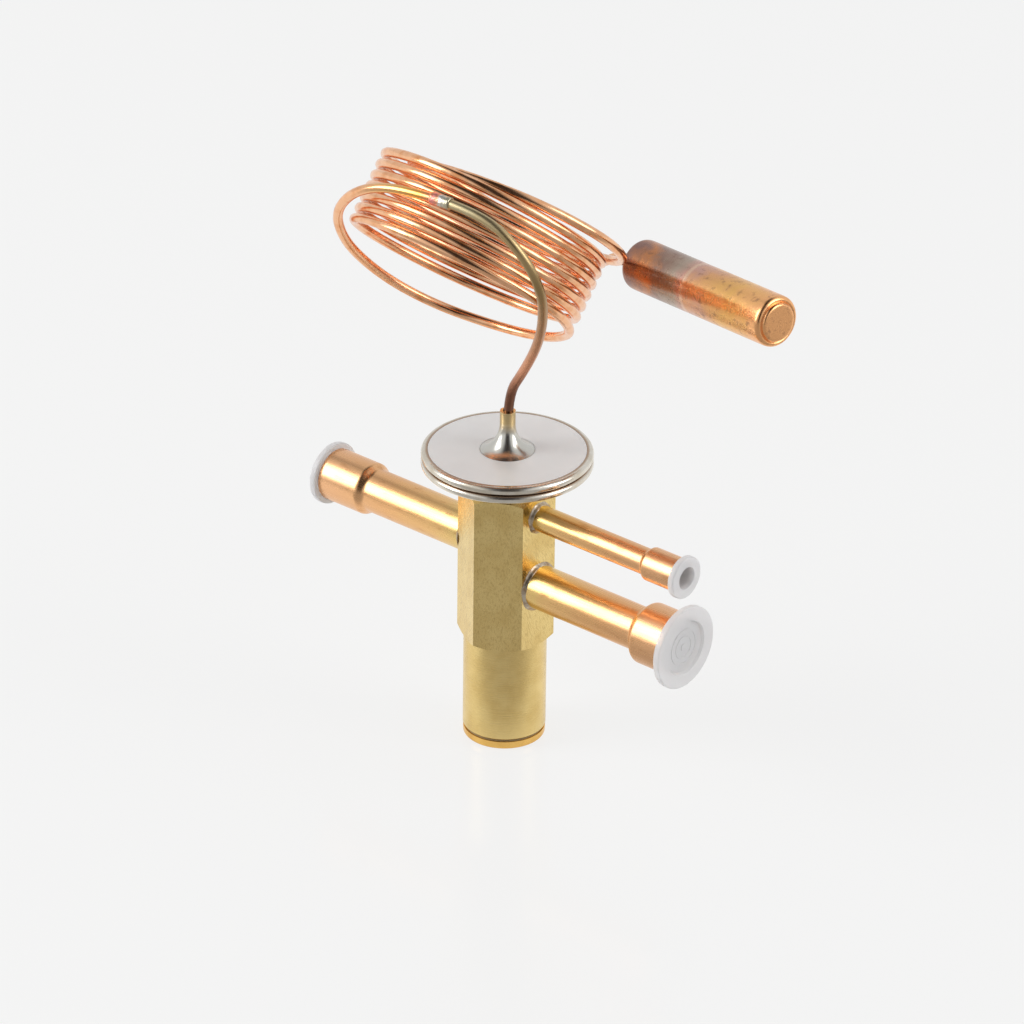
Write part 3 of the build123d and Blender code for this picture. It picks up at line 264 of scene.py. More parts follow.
def relief(nodes, links, shader, height, depth_mm):
    """Fine unevenness of the surface, a depth in millimetres from 0 to 1 of the height."""
    bump = nodes.new("ShaderNodeBump")
    bump.inputs["Strength"].default_value = 1.0
    bump.inputs["Distance"].default_value = depth_mm / 1000
    links.new(height, bump.inputs["Height"])
    links.new(bump.outputs["Normal"], shader.inputs["Normal"])


def coat_solid(name, material):
    """Gives a solid of the frame its finish in place of the plain one it came with."""
    mesh = solids[name].data
    mesh.materials.clear()
    mesh.materials.append(material)


body_finish, nodes, links, shader = new_finish("bar_brass", body_brass, 1.0, 0.3)
place = place_in_mm(nodes, links)
stains = grain(nodes, links, place, 0.18, 5.0)
skin = ramp(nodes, links, stains, ((0.3, body_brass_dull), (0.62, body_brass)))
strokes = grain(nodes, links, slanted_place(nodes, links, (24, 18, 0), 18.0), 2.6, 3.0)
rings = grain(nodes, links, place_in_mm(nodes, links, (0.02, 0.02, 9.0)), 1.0, 3.0)
split = nodes.new("ShaderNodeSeparateXYZ")
links.new(place, split.inputs["Vector"])
on_flats = spread(
    nodes, links, split.outputs["Z"], 0.0, 1.0, barrel_height_mm - 0.1, barrel_height_mm + 0.1
)
tooling = mix(nodes, links, on_flats, rings, strokes)
links.new(spread(nodes, links, tooling, 0.16, 0.34), shader.inputs["Roughness"])
relief(nodes, links, shader, tooling, 0.045)
cut_deep = nodes.new("ShaderNodeMath")
cut_deep.operation = "MULTIPLY"
links.new(spread(nodes, links, strokes, 0.42, 0.0, 0.34, 0.5), cut_deep.inputs[0])
links.new(on_flats, cut_deep.inputs[1])
links.new(
    mix(nodes, links, cut_deep.outputs["Value"], skin, stroke_brown), shader.inputs["Base Color"]
)
coat_solid("valve_body", body_finish)

# ---------------------------------------------------------------- seal cap and washer
# Screwed brass cap with a hexagon socket underneath, turned from round bar, and the flat
# fibre washer that it presses against the barrel.
cap_brass = (1.0, 0.62, 0.18, 1.0)
cap_brass_dull = (0.88, 0.50, 0.13, 1.0)
thread_pitch_mm = 1.0
thread_start_mm = 2.0  # just over the flange


def screw_thread(nodes, links, place, pitch_mm):
    """Triangular ridge from 0 to 1 that winds up round the upright axis."""
    parts = nodes.new("ShaderNodeSeparateXYZ")
    links.new(place, parts.inputs["Vector"])
    turn = nodes.new("ShaderNodeMath")
    turn.operation = "ARCTAN2"
    links.new(parts.outputs["Y"], turn.inputs[0])
    links.new(parts.outputs["X"], turn.inputs[1])
    lead = spread(nodes, links, turn.outputs["Value"], -0.5, 0.5, -pi, pi)
    climb = nodes.new("ShaderNodeMath")
    climb.operation = "MULTIPLY_ADD"
    climb.inputs[1].default_value = 1 / pitch_mm
    links.new(parts.outputs["Z"], climb.inputs[0])
    links.new(lead, climb.inputs[2])
    ridge = nodes.new("ShaderNodeMath")
    ridge.operation = "PINGPONG"
    ridge.inputs[1].default_value = 0.5
    links.new(climb.outputs["Value"], ridge.inputs[0])
    return spread(nodes, links, ridge.outputs["Value"], 0.0, 1.0, 0.0, 0.5)


def turned_metal(name, colour, dull, smooth, rough):
    """Turned or ground metal: fine rings across one axis and faint handling stains."""
    material, nodes, links, shader = new_finish(name, colour, 1.0, smooth)
    stains = grain(nodes, links, place_in_mm(nodes, links), 0.25, 5.0)
    links.new(ramp(nodes, links, stains, ((0.3, dull), (0.6, colour))), shader.inputs["Base Color"])
    rings = grain(nodes, links, place_in_mm(nodes, links, (0.02, 0.02, 7.0)), 1.0, 3.0)
    links.new(spread(nodes, links, rings, smooth, rough), shader.inputs["Roughness"])
    relief(nodes, links, shader, rings, 0.008)
    return material, nodes, links, shader


cap_finish, nodes, links, shader = turned_metal("cap_brass", cap_brass, cap_brass_dull, 0.16, 0.34)
place = place_in_mm(nodes, links)
split = nodes.new("ShaderNodeSeparateXYZ")
links.new(place, split.inputs["Vector"])
on_stem = spread(
    nodes, links, split.outputs["Z"], 0.0, 1.0, thread_start_mm, thread_start_mm + 0.1
)
ridge = nodes.new("ShaderNodeMath")
ridge.operation = "MULTIPLY"
links.new(screw_thread(nodes, links, place, thread_pitch_mm), ridge.inputs[0])
links.new(on_stem, ridge.inputs[1])
relief(nodes, links, shader, ridge.outputs["Value"], 0.5)
coat_solid("seal_cap", cap_finish)

washer_finish, nodes, links, shader = new_finish("pressed_fibre", (0.34, 0.27, 0.15, 1), 0.0, 0.85)
fibres = grain(nodes, links, place_in_mm(nodes, links, (1, 1, 6)), 2.5, 6.0)
fibre_colours = ((0.3, (0.26, 0.20, 0.10, 1.0)), (0.7, (0.42, 0.34, 0.20, 1.0)))
links.new(ramp(nodes, links, fibres, fibre_colours), shader.inputs["Base Color"])
relief(nodes, links, shader, fibres, 0.03)
coat_solid("cap_gasket", washer_finish)

# ---------------------------------------------------------------- adjusting screw
# Inside the barrel a slotted brass spindle turns in a screwed gland bush, sealed by a
# rubber ring, and carries the nut under the spring up and down.
screw_brass = (0.74, 0.54, 0.24, 1.0)
screw_brass_dull = (0.58, 0.40, 0.16, 1.0)
spindle_finish = turned_metal(
    "screw_brass", screw_brass, screw_brass_dull, 0.18, 0.36
)[0]
for name in ("adjusting_spindle", "gland_bush", "spring_seat"):
    coat_solid(name, spindle_finish)

rubber_finish, nodes, links, shader = new_finish("seal_rubber", (0.02, 0.02, 0.02, 1), 0.0, 0.55)
skin = grain(nodes, links, place_in_mm(nodes, links), 3.0, 4.0)
links.new(spread(nodes, links, skin, 0.45, 0.7), shader.inputs["Roughness"])
relief(nodes, links, shader, skin, 0.01)
for name in ("spindle_seal", "rod_seal"):
    coat_solid(name, rubber_finish)

# ---------------------------------------------------------------- spring and needle
# A bright steel spring pushes the needle's brass carrier up. The needle, its seat, the push
# rod, its plate under the diaphragm and the inlet's strainer are of smooth grey steel.
spring_finish = turned_metal(
    "spring_steel", (0.50, 0.50, 0.52, 1.0), (0.34, 0.34, 0.36, 1.0), 0.2, 0.34
)[0]
coat_solid("superheat_spring", spring_finish)
coat_solid("needle_carrier", spindle_finish)
ground_finish = turned_metal(
    "ground_steel", (0.60, 0.60, 0.61, 1.0), (0.48, 0.48, 0.49, 1.0), 0.12, 0.25
)[0]
for name in ("needle", "push_rod", "orifice_insert", "inlet_strainer", "buffer_plate"):
    coat_solid(name, ground_finish)

# ---------------------------------------------------------------- diaphragm head
# Two pressed steel shells, rolled together over a thin corrugated diaphragm and soldered
# along the seam. The presses leave rings round the axis, and solder warms the seam.
shell_steel = (0.82, 0.77, 0.68, 1.0)
shell_steel_dull = (0.68, 0.60, 0.47, 1.0)
seam_brown = (0.40, 0.25, 0.15, 1.0)
seam_height_mm = 69.2
brown_edge_mm = 17.9  # from the axis; the brown fades out just past the recess
brown_bottom_mm = 70.4  # a little under the recess's floor

shell_finish, nodes, links, shader = new_finish("shell_steel", shell_steel, 1.0, 0.2)
place = place_in_mm(nodes, links)
stains = grain(nodes, links, place, 0.3, 5.0)
skin = ramp(nodes, links, stains, ((0.25, shell_steel_dull), (0.6, shell_steel)))
split = nodes.new("ShaderNodeSeparateXYZ")
links.new(place, split.inputs["Vector"])
off_seam = nodes.new("ShaderNodeMath")
off_seam.operation = "SUBTRACT"
links.new(split.outputs["Z"], off_seam.inputs[0])
off_seam.inputs[1].default_value = seam_height_mm
distance = nodes.new("ShaderNodeMath")
distance.operation = "ABSOLUTE"
links.new(off_seam.outputs["Value"], distance.inputs[0])
warmth = spread(nodes, links, distance.outputs["Value"], 0.85, 0.0, 0.1, 0.45)
soldered = mix(nodes, links, warmth, skin, seam_brown)
flattened = nodes.new("ShaderNodeVectorMath")
flattened.operation = "MULTIPLY"
links.new(place, flattened.inputs[0])
flattened.inputs[1].default_value = (1, 1, 0)
from_axis = nodes.new("ShaderNodeVectorMath")
from_axis.operation = "LENGTH"
links.new(flattened.outputs["Vector"], from_axis.inputs[0])
# The recess round the disc, with a thin edge just past it, is turned the seam's brown.
in_recess = spread(
    nodes, links, from_axis.outputs["Value"], 1.0, 0.0, brown_edge_mm, brown_edge_mm + 0.4
)
on_top = spread(
    nodes, links, split.outputs["Z"], 0.0, 0.8, brown_bottom_mm, brown_bottom_mm + 0.2
)
browned_recess = nodes.new("ShaderNodeMath")
browned_recess.operation = "MULTIPLY"
links.new(in_recess, browned_recess.inputs[0])
links.new(on_top, browned_recess.inputs[1])
edged = mix(nodes, links, browned_recess.outputs["Value"], soldered, seam_brown)
links.new(edged, shader.inputs["Base Color"])
rings = grain(nodes, links, place_in_mm(nodes, links, (0.03, 0.03, 6.0)), 1.0, 3.0)
links.new(spread(nodes, links, rings, 0.14, 0.32), shader.inputs["Roughness"])
relief(nodes, links, shader, rings, 0.01)
for name in ("lower_housing", "upper_housing"):
    coat_solid(name, shell_finish)
coat_solid("diaphragm", spring_finish)

# ---------------------------------------------------------------- label disc
# Thin aluminium disc stuck in the head's shallow recess: satin, brushed one way and left
# plain.
plate_grey = (0.84, 0.84, 0.82, 1.0)
plate_finish, nodes, links, shader = new_finish("satin_plate", plate_grey, 0.35, 0.42)
strokes = grain(nodes, links, place_in_mm(nodes, links, (0.12, 6.0, 1.0)), 1.0, 4.0)
cloud = grain(nodes, links, place_in_mm(nodes, links), 0.12, 3.0)
plate_colours = ((0.2, (0.90, 0.905, 0.89, 1.0)), (0.8, (0.96, 0.965, 0.95, 1.0)))
links.new(ramp(nodes, links, cloud, plate_colours), shader.inputs["Base Color"])
links.new(spread(nodes, links, strokes, 0.36, 0.5), shader.inputs["Roughness"])
relief(nodes, links, shader, strokes, 0.004)
coat_solid("rating_plate", plate_finish)

# ---------------------------------------------------------------- charge ferrule
# Turned trumpet that holds the capillary, silver plated on the flare and left brass
# coloured by the flame round the sleeve.
ferrule_silver = (0.66, 0.64, 0.58, 1.0)
ferrule_brass = (0.66, 0.50, 0.26, 1.0)
brass_start_mm = 76.5  # less up to 2 mm, by the scorch
ferrule_finish, nodes, links, shader = turned_metal(
    "ferrule_metal", ferrule_silver, (0.44, 0.41, 0.34, 1.0), 0.14, 0.3
)
place = place_in_mm(nodes, links)
split = nodes.new("ShaderNodeSeparateXYZ")
links.new(place, split.inputs["Vector"])
scorch = grain(nodes, links, place, 0.8, 4.0)
edge = nodes.new("ShaderNodeMath")
edge.operation = "MULTIPLY_ADD"
links.new(scorch, edge.inputs[0])
edge.inputs[1].default_value = 2.0
links.new(split.outputs["Z"], edge.inputs[2])
upper = spread(
    nodes, links, edge.outputs["Value"], 0.0, 1.0, brass_start_mm, brass_start_mm + 2.5
)
links.new(mix(nodes, links, upper, ferrule_silver, ferrule_brass), shader.inputs["Base Color"])
coat_solid("charge_ferrule", ferrule_finish)

# ---------------------------------------------------------------- tubes and their solder
# Drawn copper tubes, swaged out to sockets at their mouths and silver soldered into the
# hexagon. The flame has turned them yellow near the body and left the sockets pink.
tube_yellow = (0.86, 0.66, 0.24, 1.0)
tube_gold = (0.92, 0.58, 0.24, 1.0)
tube_copper = (0.91, 0.51, 0.23, 1.0)
tube_pink = (0.92, 0.52, 0.27, 1.0)
tube_dark = (0.60, 0.27, 0.10, 1.0)
flame_start_mm = 12.0  # out from the valve's axis
flame_end_mm = 54.0
inlet_height = 0.0472
outlet_height = 0.0403
equaliser_height = 0.0575
main_tube_outside = 0.005
equaliser_tube_outside = 0.003
hexagon_face = 0.0095
solder_leg = 0.0008
solder_outline = (
    (-0.3, 0.95),
    (0.0, 1.0),
    (0.2, 0.62),
    (0.5, 0.32),
    (1.0, 0.1),
    (1.1, -0.2),
    (0.3, -0.3),
)

tube_finish, nodes, links, shader = new_finish("heat_tinted_copper", tube_gold, 1.0, 0.25)
place = place_in_mm(nodes, links)
split = nodes.new("ShaderNodeSeparateXYZ")
links.new(place, split.inputs["Vector"])
reach = nodes.new("ShaderNodeMath")
reach.operation = "ABSOLUTE"
links.new(split.outputs["X"], reach.inputs[0])
flame = nodes.new("ShaderNodeMath")
flame.operation = "MULTIPLY_ADD"
links.new(grain(nodes, links, place, 0.22, 4.0), flame.inputs[0])
flame.inputs[1].default_value = 9.0
links.new(reach.outputs["Value"], flame.inputs[2])
along = spread(nodes, links, flame.outputs["Value"], 0.0, 1.0, flame_start_mm, flame_end_mm)
tints = ramp(
    nodes,
    links,
    along,
    ((0.0, tube_yellow), (0.2, tube_gold), (0.55, tube_copper), (0.95, tube_pink)),
)
spots = grain(nodes, links, place_in_mm(nodes, links, (0.5, 1.4, 1.4)), 0.5, 6.0)
tarnish = spread(nodes, links, spots, 0.0, 0.55, 0.58, 0.75)
links.new(mix(nodes, links, tarnish, tints, tube_dark), shader.inputs["Base Color"])
drawing = grain(nodes, links, place_in_mm(nodes, links, (0.12, 3.0, 3.0)), 1.0, 4.0)
links.new(spread(nodes, links, drawing, 0.18, 0.4), shader.inputs["Roughness"])
relief(nodes, links, shader, drawing, 0.012)
for name in ("inlet_tube", "outlet_tube", "equaliser_tube"):
    coat_solid(name, tube_finish)

solder_finish, nodes, links, shader = new_finish("silver_solder", (0.66, 0.63, 0.56, 1), 1.0, 0.3)
place = place_in_mm(nodes, links)
ripples = grain(nodes, links, place, 0.9, 4.0)
solder_colours = ((0.35, (0.42, 0.30, 0.19, 1.0)), (0.65, (0.68, 0.60, 0.48, 1.0)))
links.new(ramp(nodes, links, ripples, solder_colours), shader.inputs["Base Color"])
links.new(spread(nodes, links, ripples, 0.2, 0.45), shader.inputs["Roughness"])
relief(nodes, links, shader, ripples, 0.12)


def solder_ring(name, side, height, tube_outside, node):
    """Ring of solder round a tube where it meets the hexagon, a little uneven all round."""
    steps = 72
    points = []
    for step in range(steps):
        turn = 2 * pi * step / steps
        leg = solder_leg * (1 + 0.16 * sin(3 * turn + side) + 0.1 * sin(7 * turn))
        for out, up in solder_outline:
            radius = tube_outside + up * leg
            points.append(
                (
                    side * (hexagon_face + out * leg),
                    radius * cos(turn),
                    height + radius * sin(turn),
                )
            )
    around = len(solder_outline)
    faces = []
    for step in range(steps):
        for corner in range(around):
            here = step * around
            there = (step + 1) % steps * around
            after = (corner + 1) % around
            face = (here + corner, here + after, there + after, there + corner)
            faces.append(face if side > 0 else face[::-1])
    mesh = bpy.data.meshes.new(name)
    mesh.from_pydata(points, [], faces)
    mesh.shade_smooth()
    mesh.materials.append(solder_finish)
    ring = bpy.data.objects.new(name, mesh)
    bpy.context.scene.collection.objects.link(ring)
    rounded = ring.modifiers.new("rounded", "SUBSURF")
    rounded.levels = 1
    rounded.render_levels = 1
    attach(ring, "valve")
    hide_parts(node)


solder_ring("inlet_solder", -1, inlet_height, main_tube_outside, "inlet_braze")
solder_ring("outlet_solder", 1, outlet_height, main_tube_outside, "outlet_braze")
solder_ring(
    "equaliser_solder", 1, equaliser_height, equaliser_tube_outside, "equaliser_braze"
)

# ---------------------------------------------------------------- transit plugs
# Moulded plugs of natural polyethylene that keep dirt out until the valve is fitted: milky,
# slightly see-through and waxy.
plug_milk = (0.98, 0.96, 0.95, 1.0)
plug_finish, nodes, links, shader = new_finish("natural_polyethylene", plug_milk, 0.0, 0.34)
shader.inputs["Alpha"].default_value = 0.76
shader.inputs["Specular IOR Level"].default_value = 0.35
shader.inputs["Subsurface Weight"].default_value = 0.6
shader.inputs["Subsurface Radius"].default_value = (0.002, 0.002, 0.002)
shader.inputs["Subsurface Scale"].default_value = 1.0
flow = grain(nodes, links, place_in_mm(nodes, links), 0.7, 3.0)
links.new(spread(nodes, links, flow, 0.28, 0.42), shader.inputs["Roughness"])
relief(nodes, links, shader, flow, 0.03)
for name in ("inlet_plug", "outlet_plug", "equaliser_plug"):
    coat_solid(name, plug_finish)

# ---------------------------------------------------------------- capillary
# Thick-walled copper capillary, bent by hand. A dark lead climbs out of the ferrule and is
# brazed to the tube that is wound into the coil and runs on to the bulb.
tube_radius = 0.0011
coil_centre = Vector((-0.0118008, 0.0026928, 0.1164984))
coil_tilt = radians(39.8)
coil_radius = 0.0264
coil_pitch = 0.00265
coil_base = -0.0079464
corners_in_turn = 8
regular_corners = 54
first_corner = 40  # degrees turned
turn_zero = 35  # degrees from X, where no turn has been made
first_loop_mm = 27.9  # from the axis; the wide loops lie past it
lead_tints_start_mm = 82.0
lead_tints_end_mm = 142.0
lead_points = [
    (0.0, 0.0, 0.0765),
    (0.0, 0.0, 0.0848),
    (0.0052, -0.0009, 0.0924),
    (0.0107, -0.0030, 0.1010),
    (0.0154, -0.0066, 0.1100),
    (0.0187, -0.0112, 0.1198),
    (0.0164, -0.0152, 0.1296),
    (0.0076, -0.0176, 0.1366),
]
first_turn = [
    (130, 0.0306, 0.0013),
    (151, 0.0320, -0.0019),
    (172, 0.0312, -0.0070),
    (192, 0.0280, -0.0108),
    (216, 0.0260, -0.0126),
    (241, 0.0258, -0.0135),
    (266, 0.0268, -0.0133),
    (291, 0.0272, -0.0122),
    (315, 0.0264, -0.0113),
    (339, 0.0266, -0.0101),
    (364, 0.0274, -0.0087),
]
last_turn = [
    (308, 0.0290, 0.0103),
    (350, 0.0322, 0.0103),
    (390, 0.0318, 0.0110),
    (428, 0.0274, 0.0109),
    (465, 0.0250, 0.0099),
    (500, 0.0226, 0.0093),
    (538, 0.0212, 0.0098),
    (576, 0.0224, 0.0116),
    (608, 0.0274, 0.0133),
    (645, 0.0320, 0.0113),
]
bulb_start = Vector((0.0087912, 0.0338104, 0.1073112))
bulb_axis = Vector((0.97990529, -0.18338429, 0.0784591))
neck_length = 0.0026
neck_approach = 0.0045
behind_coil = [Vector((-0.0121, 0.0348, 0.1025)), Vector((-0.0040, 0.0356, 0.1023))]


def on_coil(turned, radius, height):
    """Point of the coil, from degrees turned, distance from its axis and height."""
    angle = radians(turn_zero - turned)
    along_y = Vector((0, cos(coil_tilt), -sin(coil_tilt)))
    along_z = Vector((0, sin(coil_tilt), cos(coil_tilt)))
    flat = Vector((radius * cos(angle), 0, 0)) + along_y * (radius * sin(angle))
    return coil_centre + flat + along_z * height


def drawn_tube(name, route, radius, material, body, node):
    """Round tube that follows a smooth line through a route's bends."""
    line = bpy.data.curves.new(name, "CURVE")
    line.dimensions = "3D"
    line.bevel_depth = radius
    line.bevel_resolution = 5
    line.use_fill_caps = True
    line.resolution_u = 6
    bends = line.splines.new("NURBS")
    bends.points.add(len(route) - 1)
    for point, where in zip(bends.points, route):
        point.co = (*where, 1.0)
    bends.order_u = 3
    bends.use_endpoint_u = True
    line.materials.append(material)
    piece = bpy.data.objects.new(name, line)
    bpy.context.scene.collection.objects.link(piece)
    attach(piece, body)
    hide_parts(node)


regular_turns = []
for corner in range(regular_corners):
    turned = first_corner + 360 / corners_in_turn * corner
    height = coil_base + coil_pitch * turned / 360
    regular_turns.append(on_coil(turned, coil_radius / cos(pi / corners_in_turn), height))
coil_start = on_coil(*first_turn[0])
joint_middle = (Vector(lead_points[-1]) + coil_start) / 2
neck_tip = bulb_start - bulb_axis * neck_length
coil_route = [joint_middle]
coil_route += [on_coil(*point) for point in first_turn]
coil_route += regular_turns
coil_route += [on_coil(*point) for point in last_turn]
coil_route += behind_coil
coil_route += [neck_tip - bulb_axis * neck_approach, neck_tip]

coil_copper = (0.98, 0.55, 0.31, 1.0)
coil_copper_dull = (0.86, 0.39, 0.17, 1.0)
coil_finish, nodes, links, shader = new_finish("drawn_copper", coil_copper, 1.0, 0.2)
place = place_in_mm(nodes, links)
spots = grain(nodes, links, place, 0.35, 6.0)
skin = ramp(nodes, links, spots, ((0.32, coil_copper_dull), (0.55, coil_copper)))
from_joint = nodes.new("ShaderNodeVectorMath")
from_joint.operation = "DISTANCE"
links.new(place, from_joint.inputs[0])
from_joint.inputs[1].default_value = joint_middle * 1000
heat = spread(nodes, links, from_joint.outputs["Value"], 1.0, 0.0, 1.0, 24.0)
from_middle = nodes.new("ShaderNodeVectorMath")
from_middle.operation = "SUBTRACT"
links.new(place, from_middle.inputs[0])
from_middle.inputs[1].default_value = coil_centre * 1000
off_axis = nodes.new("ShaderNodeVectorMath")
off_axis.operation = "CROSS_PRODUCT"
links.new(from_middle.outputs["Vector"], off_axis.inputs[0])
off_axis.inputs[1].default_value = (0, sin(coil_tilt), cos(coil_tilt))
off_length = nodes.new("ShaderNodeVectorMath")
off_length.operation = "LENGTH"
links.new(off_axis.outputs["Vector"], off_length.inputs[0])
on_first_loop = spread(
    nodes, links, off_length.outputs["Value"], 0.0, 1.0, first_loop_mm, first_loop_mm + 1.0
)
flame_tints = ramp(
    nodes,
    links,
    heat,
    (
        (0.0, coil_copper),
        (0.45, (0.86, 0.50, 0.20, 1.0)),
        (0.8, (0.90, 0.44, 0.10, 1.0)),
        (0.97, (0.86, 0.28, 0.20, 1.0)),
    ),
)
heated = nodes.new("ShaderNodeMath")
heated.operation = "MULTIPLY"
links.new(spread(nodes, links, heat, 0.0, 1.0, 0.0, 0.3), heated.inputs[0])
links.new(on_first_loop, heated.inputs[1])
tinted = mix(nodes, links, heated.outputs["Value"], skin, flame_tints)
links.new(tinted, shader.inputs["Base Color"])
links.new(spread(nodes, links, spots, 0.12, 0.26), shader.inputs["Roughness"])
relief(nodes, links, shader, grain(nodes, links, place, 0.9, 3.0), 0.006)
drawn_tube(
    "coil_tube", coil_route, tube_radius, coil_finish, "valve", "capillary_coil"
)

lead_finish, nodes, links, shader = new_finish("burnt_copper", (0.3, 0.17, 0.1, 1), 1.0, 0.28)
place = place_in_mm(nodes, links)
split = nodes.new("ShaderNodeSeparateXYZ")
links.new(place, split.inputs["Vector"])
soot = nodes.new("ShaderNodeMath")
soot.operation = "MULTIPLY_ADD"
links.new(grain(nodes, links, place, 0.3, 5.0), soot.inputs[0])
soot.inputs[1].default_value = 6.0
links.new(split.outputs["Z"], soot.inputs[2])
climb = spread(
    nodes, links, soot.outputs["Value"], 0.0, 1.0, lead_tints_start_mm, lead_tints_end_mm
)
lead_tints = ramp(
    nodes,
    links,
    climb,
    (
        (0.0, (0.17, 0.085, 0.055, 1.0)),
        (0.1, (0.20, 0.09, 0.055, 1.0)),
        (0.24, (0.72, 0.34, 0.20, 1.0)),
        (0.45, (0.50, 0.27, 0.14, 1.0)),
        (0.7, (0.40, 0.27, 0.12, 1.0)),
        (0.9, (0.60, 0.44, 0.22, 1.0)),
        (1.0, (0.62, 0.54, 0.33, 1.0)),
    ),
)
links.new(lead_tints, shader.inputs["Base Color"])
links.new(spread(nodes, links, climb, 0.24, 0.36), shader.inputs["Roughness"])
drawn_tube(
    "lead_tube",
    [Vector(point) for point in lead_points] + [joint_middle],
    tube_radius,
    lead_finish,
    "valve",
    "capillary_lead",
)

joint_finish, nodes, links, shader = new_finish("brazed_sleeve", (0.7, 0.6, 0.5, 1), 1.0, 0.3)
place = place_in_mm(nodes, links)
to_coil = nodes.new("ShaderNodeVectorMath")
to_coil.operation = "DISTANCE"
links.new(place, to_coil.inputs[0])
to_coil.inputs[1].default_value = coil_start * 1000
crust = grain(nodes, links, place, 1.4, 4.0)
spill = nodes.new("ShaderNodeMath")
spill.operation = "MULTIPLY_ADD"
links.new(crust, spill.inputs[0])
spill.inputs[1].default_value = 2.0
links.new(to_coil.outputs["Value"], spill.inputs[2])
sleeve_start_mm = (joint_middle - coil_start).length * 1000 - 2.0
silvered = spread(
    nodes, links, spill.outputs["Value"], 0.0, 1.0, sleeve_start_mm, sleeve_start_mm + 5.0
)
sleeve_tints = ramp(
    nodes,
    links,
    silvered,
    (
        (0.1, (0.95, 0.42, 0.14, 1.0)),
        (0.35, (0.84, 0.30, 0.28, 1.0)),
        (0.55, (0.86, 0.40, 0.22, 1.0)),
        (0.66, (0.74, 0.72, 0.68, 1.0)),
        (0.95, (0.60, 0.55, 0.40, 1.0)),
    ),
)
links.new(sleeve_tints, shader.inputs["Base Color"])
links.new(spread(nodes, links, crust, 0.2, 0.45), shader.inputs["Roughness"])
relief(nodes, links, shader, crust, 0.15)
coat_solid("capillary_joint", joint_finish)

# ---------------------------------------------------------------- bulb
# Copper tube spun to a neck at one end and rolled over a pressed disc at the other. The
# braze at the neck has left it mottled brown, purple and grey, and gold at the far end.
bulb_outline = (
    (-2.6, 1.15),
    (-2.6, 1.75),
    (-1.95, 1.88),
    (-1.3, 2.25),
    (-0.6, 2.75),
    (-0.05, 3.1),
    (-0.02, 4.2),
    (0.12, 4.85),
    (0.45, 5.4),
    (0.98, 5.73),
    (1.6, 5.81),
    (3.4, 5.8),
    (20.3, 5.8),
    (20.8, 5.76),
    (21.3, 5.8),
    (43.2, 5.8),
    (45.4, 5.81),
    (45.95, 5.73),
    (46.35, 5.42),
    (46.52, 5.05),
    (46.52, 4.75),
    (46.25, 4.5),
    (46.6, 4.42),
    (47.05, 4.25),
    (47.2, 3.85),
    (47.2, 2.5),
    (47.2, 1.2),
)
line_place_mm = 20.8  # of the pale line round the bulb, from its shoulder
line_copper = (0.86, 0.62, 0.44, 1.0)
fleck_brown = (0.24, 0.13, 0.09, 1.0)

bulb_finish, nodes, links, shader = new_finish("flame_marked_copper", (0.5, 0.3, 0.2, 1), 1.0, 0.26)
place = place_in_mm(nodes, links)
from_start = nodes.new("ShaderNodeVectorMath")
from_start.operation = "SUBTRACT"
links.new(place, from_start.inputs[0])
from_start.inputs[1].default_value = bulb_start * 1000
down_bulb = nodes.new("ShaderNodeVectorMath")
down_bulb.operation = "DOT_PRODUCT"
links.new(from_start.outputs["Vector"], down_bulb.inputs[0])
down_bulb.inputs[1].default_value = bulb_axis
blotches = grain(nodes, links, place, 0.13, 5.0)
wander = nodes.new("ShaderNodeMath")
wander.operation = "MULTIPLY_ADD"
links.new(blotches, wander.inputs[0])
wander.inputs[1].default_value = 26.0
links.new(down_bulb.outputs["Value"], wander.inputs[2])
stretch = spread(nodes, links, wander.outputs["Value"], 0.0, 1.0, 10.0, 60.0)
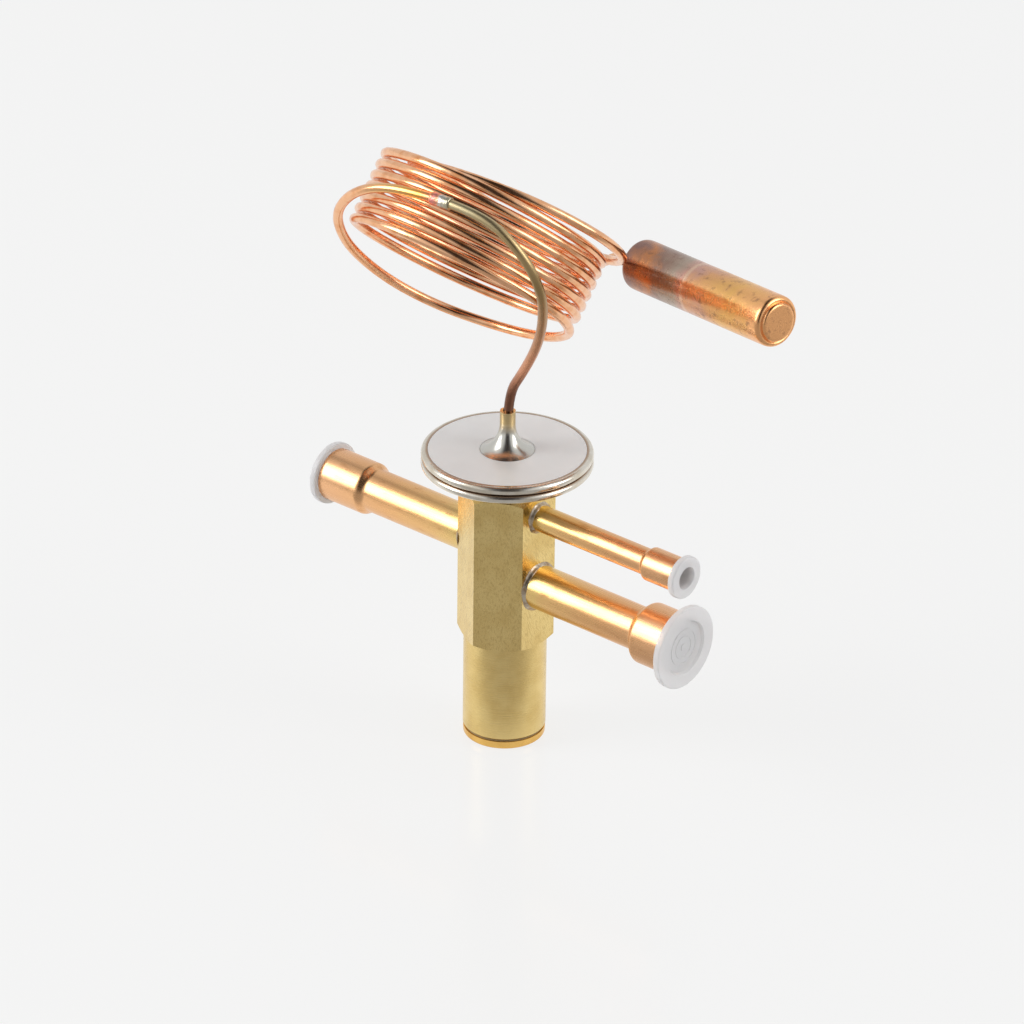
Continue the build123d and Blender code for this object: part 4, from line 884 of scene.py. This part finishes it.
bulb_tints = ramp(
    nodes,
    links,
    stretch,
    (
        (0.0, (0.50, 0.24, 0.17, 1.0)),
        (0.1, (0.30, 0.17, 0.14, 1.0)),
        (0.2, (0.58, 0.24, 0.10, 1.0)),
        (0.27, (0.34, 0.21, 0.16, 1.0)),
        (0.4, (0.46, 0.36, 0.28, 1.0)),
        (0.5, (0.66, 0.38, 0.30, 1.0)),
        (0.6, (0.80, 0.42, 0.20, 1.0)),
        (0.78, (0.92, 0.52, 0.17, 1.0)),
        (0.92, (0.98, 0.50, 0.22, 1.0)),
    ),
)
off_line = nodes.new("ShaderNodeMath")
off_line.operation = "SUBTRACT"
links.new(down_bulb.outputs["Value"], off_line.inputs[0])
off_line.inputs[1].default_value = line_place_mm
line_distance = nodes.new("ShaderNodeMath")
line_distance.operation = "ABSOLUTE"
links.new(off_line.outputs["Value"], line_distance.inputs[0])
pale_line = spread(nodes, links, line_distance.outputs["Value"], 0.55, 0.0, 0.25, 0.75)
marked = mix(nodes, links, pale_line, bulb_tints, line_copper)
flecks = grain(nodes, links, place, 0.75, 6.0)
fleck_share = spread(nodes, links, flecks, 0.0, 0.5, 0.56, 0.7)
links.new(mix(nodes, links, fleck_share, marked, fleck_brown), shader.inputs["Base Color"])
links.new(spread(nodes, links, flecks, 0.16, 0.36), shader.inputs["Roughness"])
relief(nodes, links, shader, flecks, 0.03)

steps_round = 64
bulb_up = bulb_axis.orthogonal().normalized()
bulb_side = bulb_axis.cross(bulb_up)
bulb_points = []
for along, radius in bulb_outline:
    for step in range(steps_round):
        turn = 2 * pi * step / steps_round
        out = bulb_up * cos(turn) + bulb_side * sin(turn)
        bulb_points.append(bulb_start + bulb_axis * (along / 1000) + out * (radius / 1000))
bulb_faces = []
for ring in range(len(bulb_outline) - 1):
    for step in range(steps_round):
        after = (step + 1) % steps_round
        here = ring * steps_round
        there = here + steps_round
        bulb_faces.append((here + step, here + after, there + after, there + step))
bulb_faces.append(tuple(reversed(range(steps_round))))
bulb_faces.append(tuple(range(len(bulb_points) - steps_round, len(bulb_points))))
bulb_mesh = bpy.data.meshes.new("bulb")
bulb_mesh.from_pydata(bulb_points, [], bulb_faces)
bulb_mesh.shade_smooth()
bulb_mesh.materials.append(bulb_finish)
bulb = bpy.data.objects.new("bulb", bulb_mesh)
bpy.context.scene.collection.objects.link(bulb)
bulb_rounding = bulb.modifiers.new("rounded", "SUBSURF")
bulb_rounding.levels = 2
bulb_rounding.render_levels = 2
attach(bulb, "valve")
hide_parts("bulb_shell", "bulb_end")
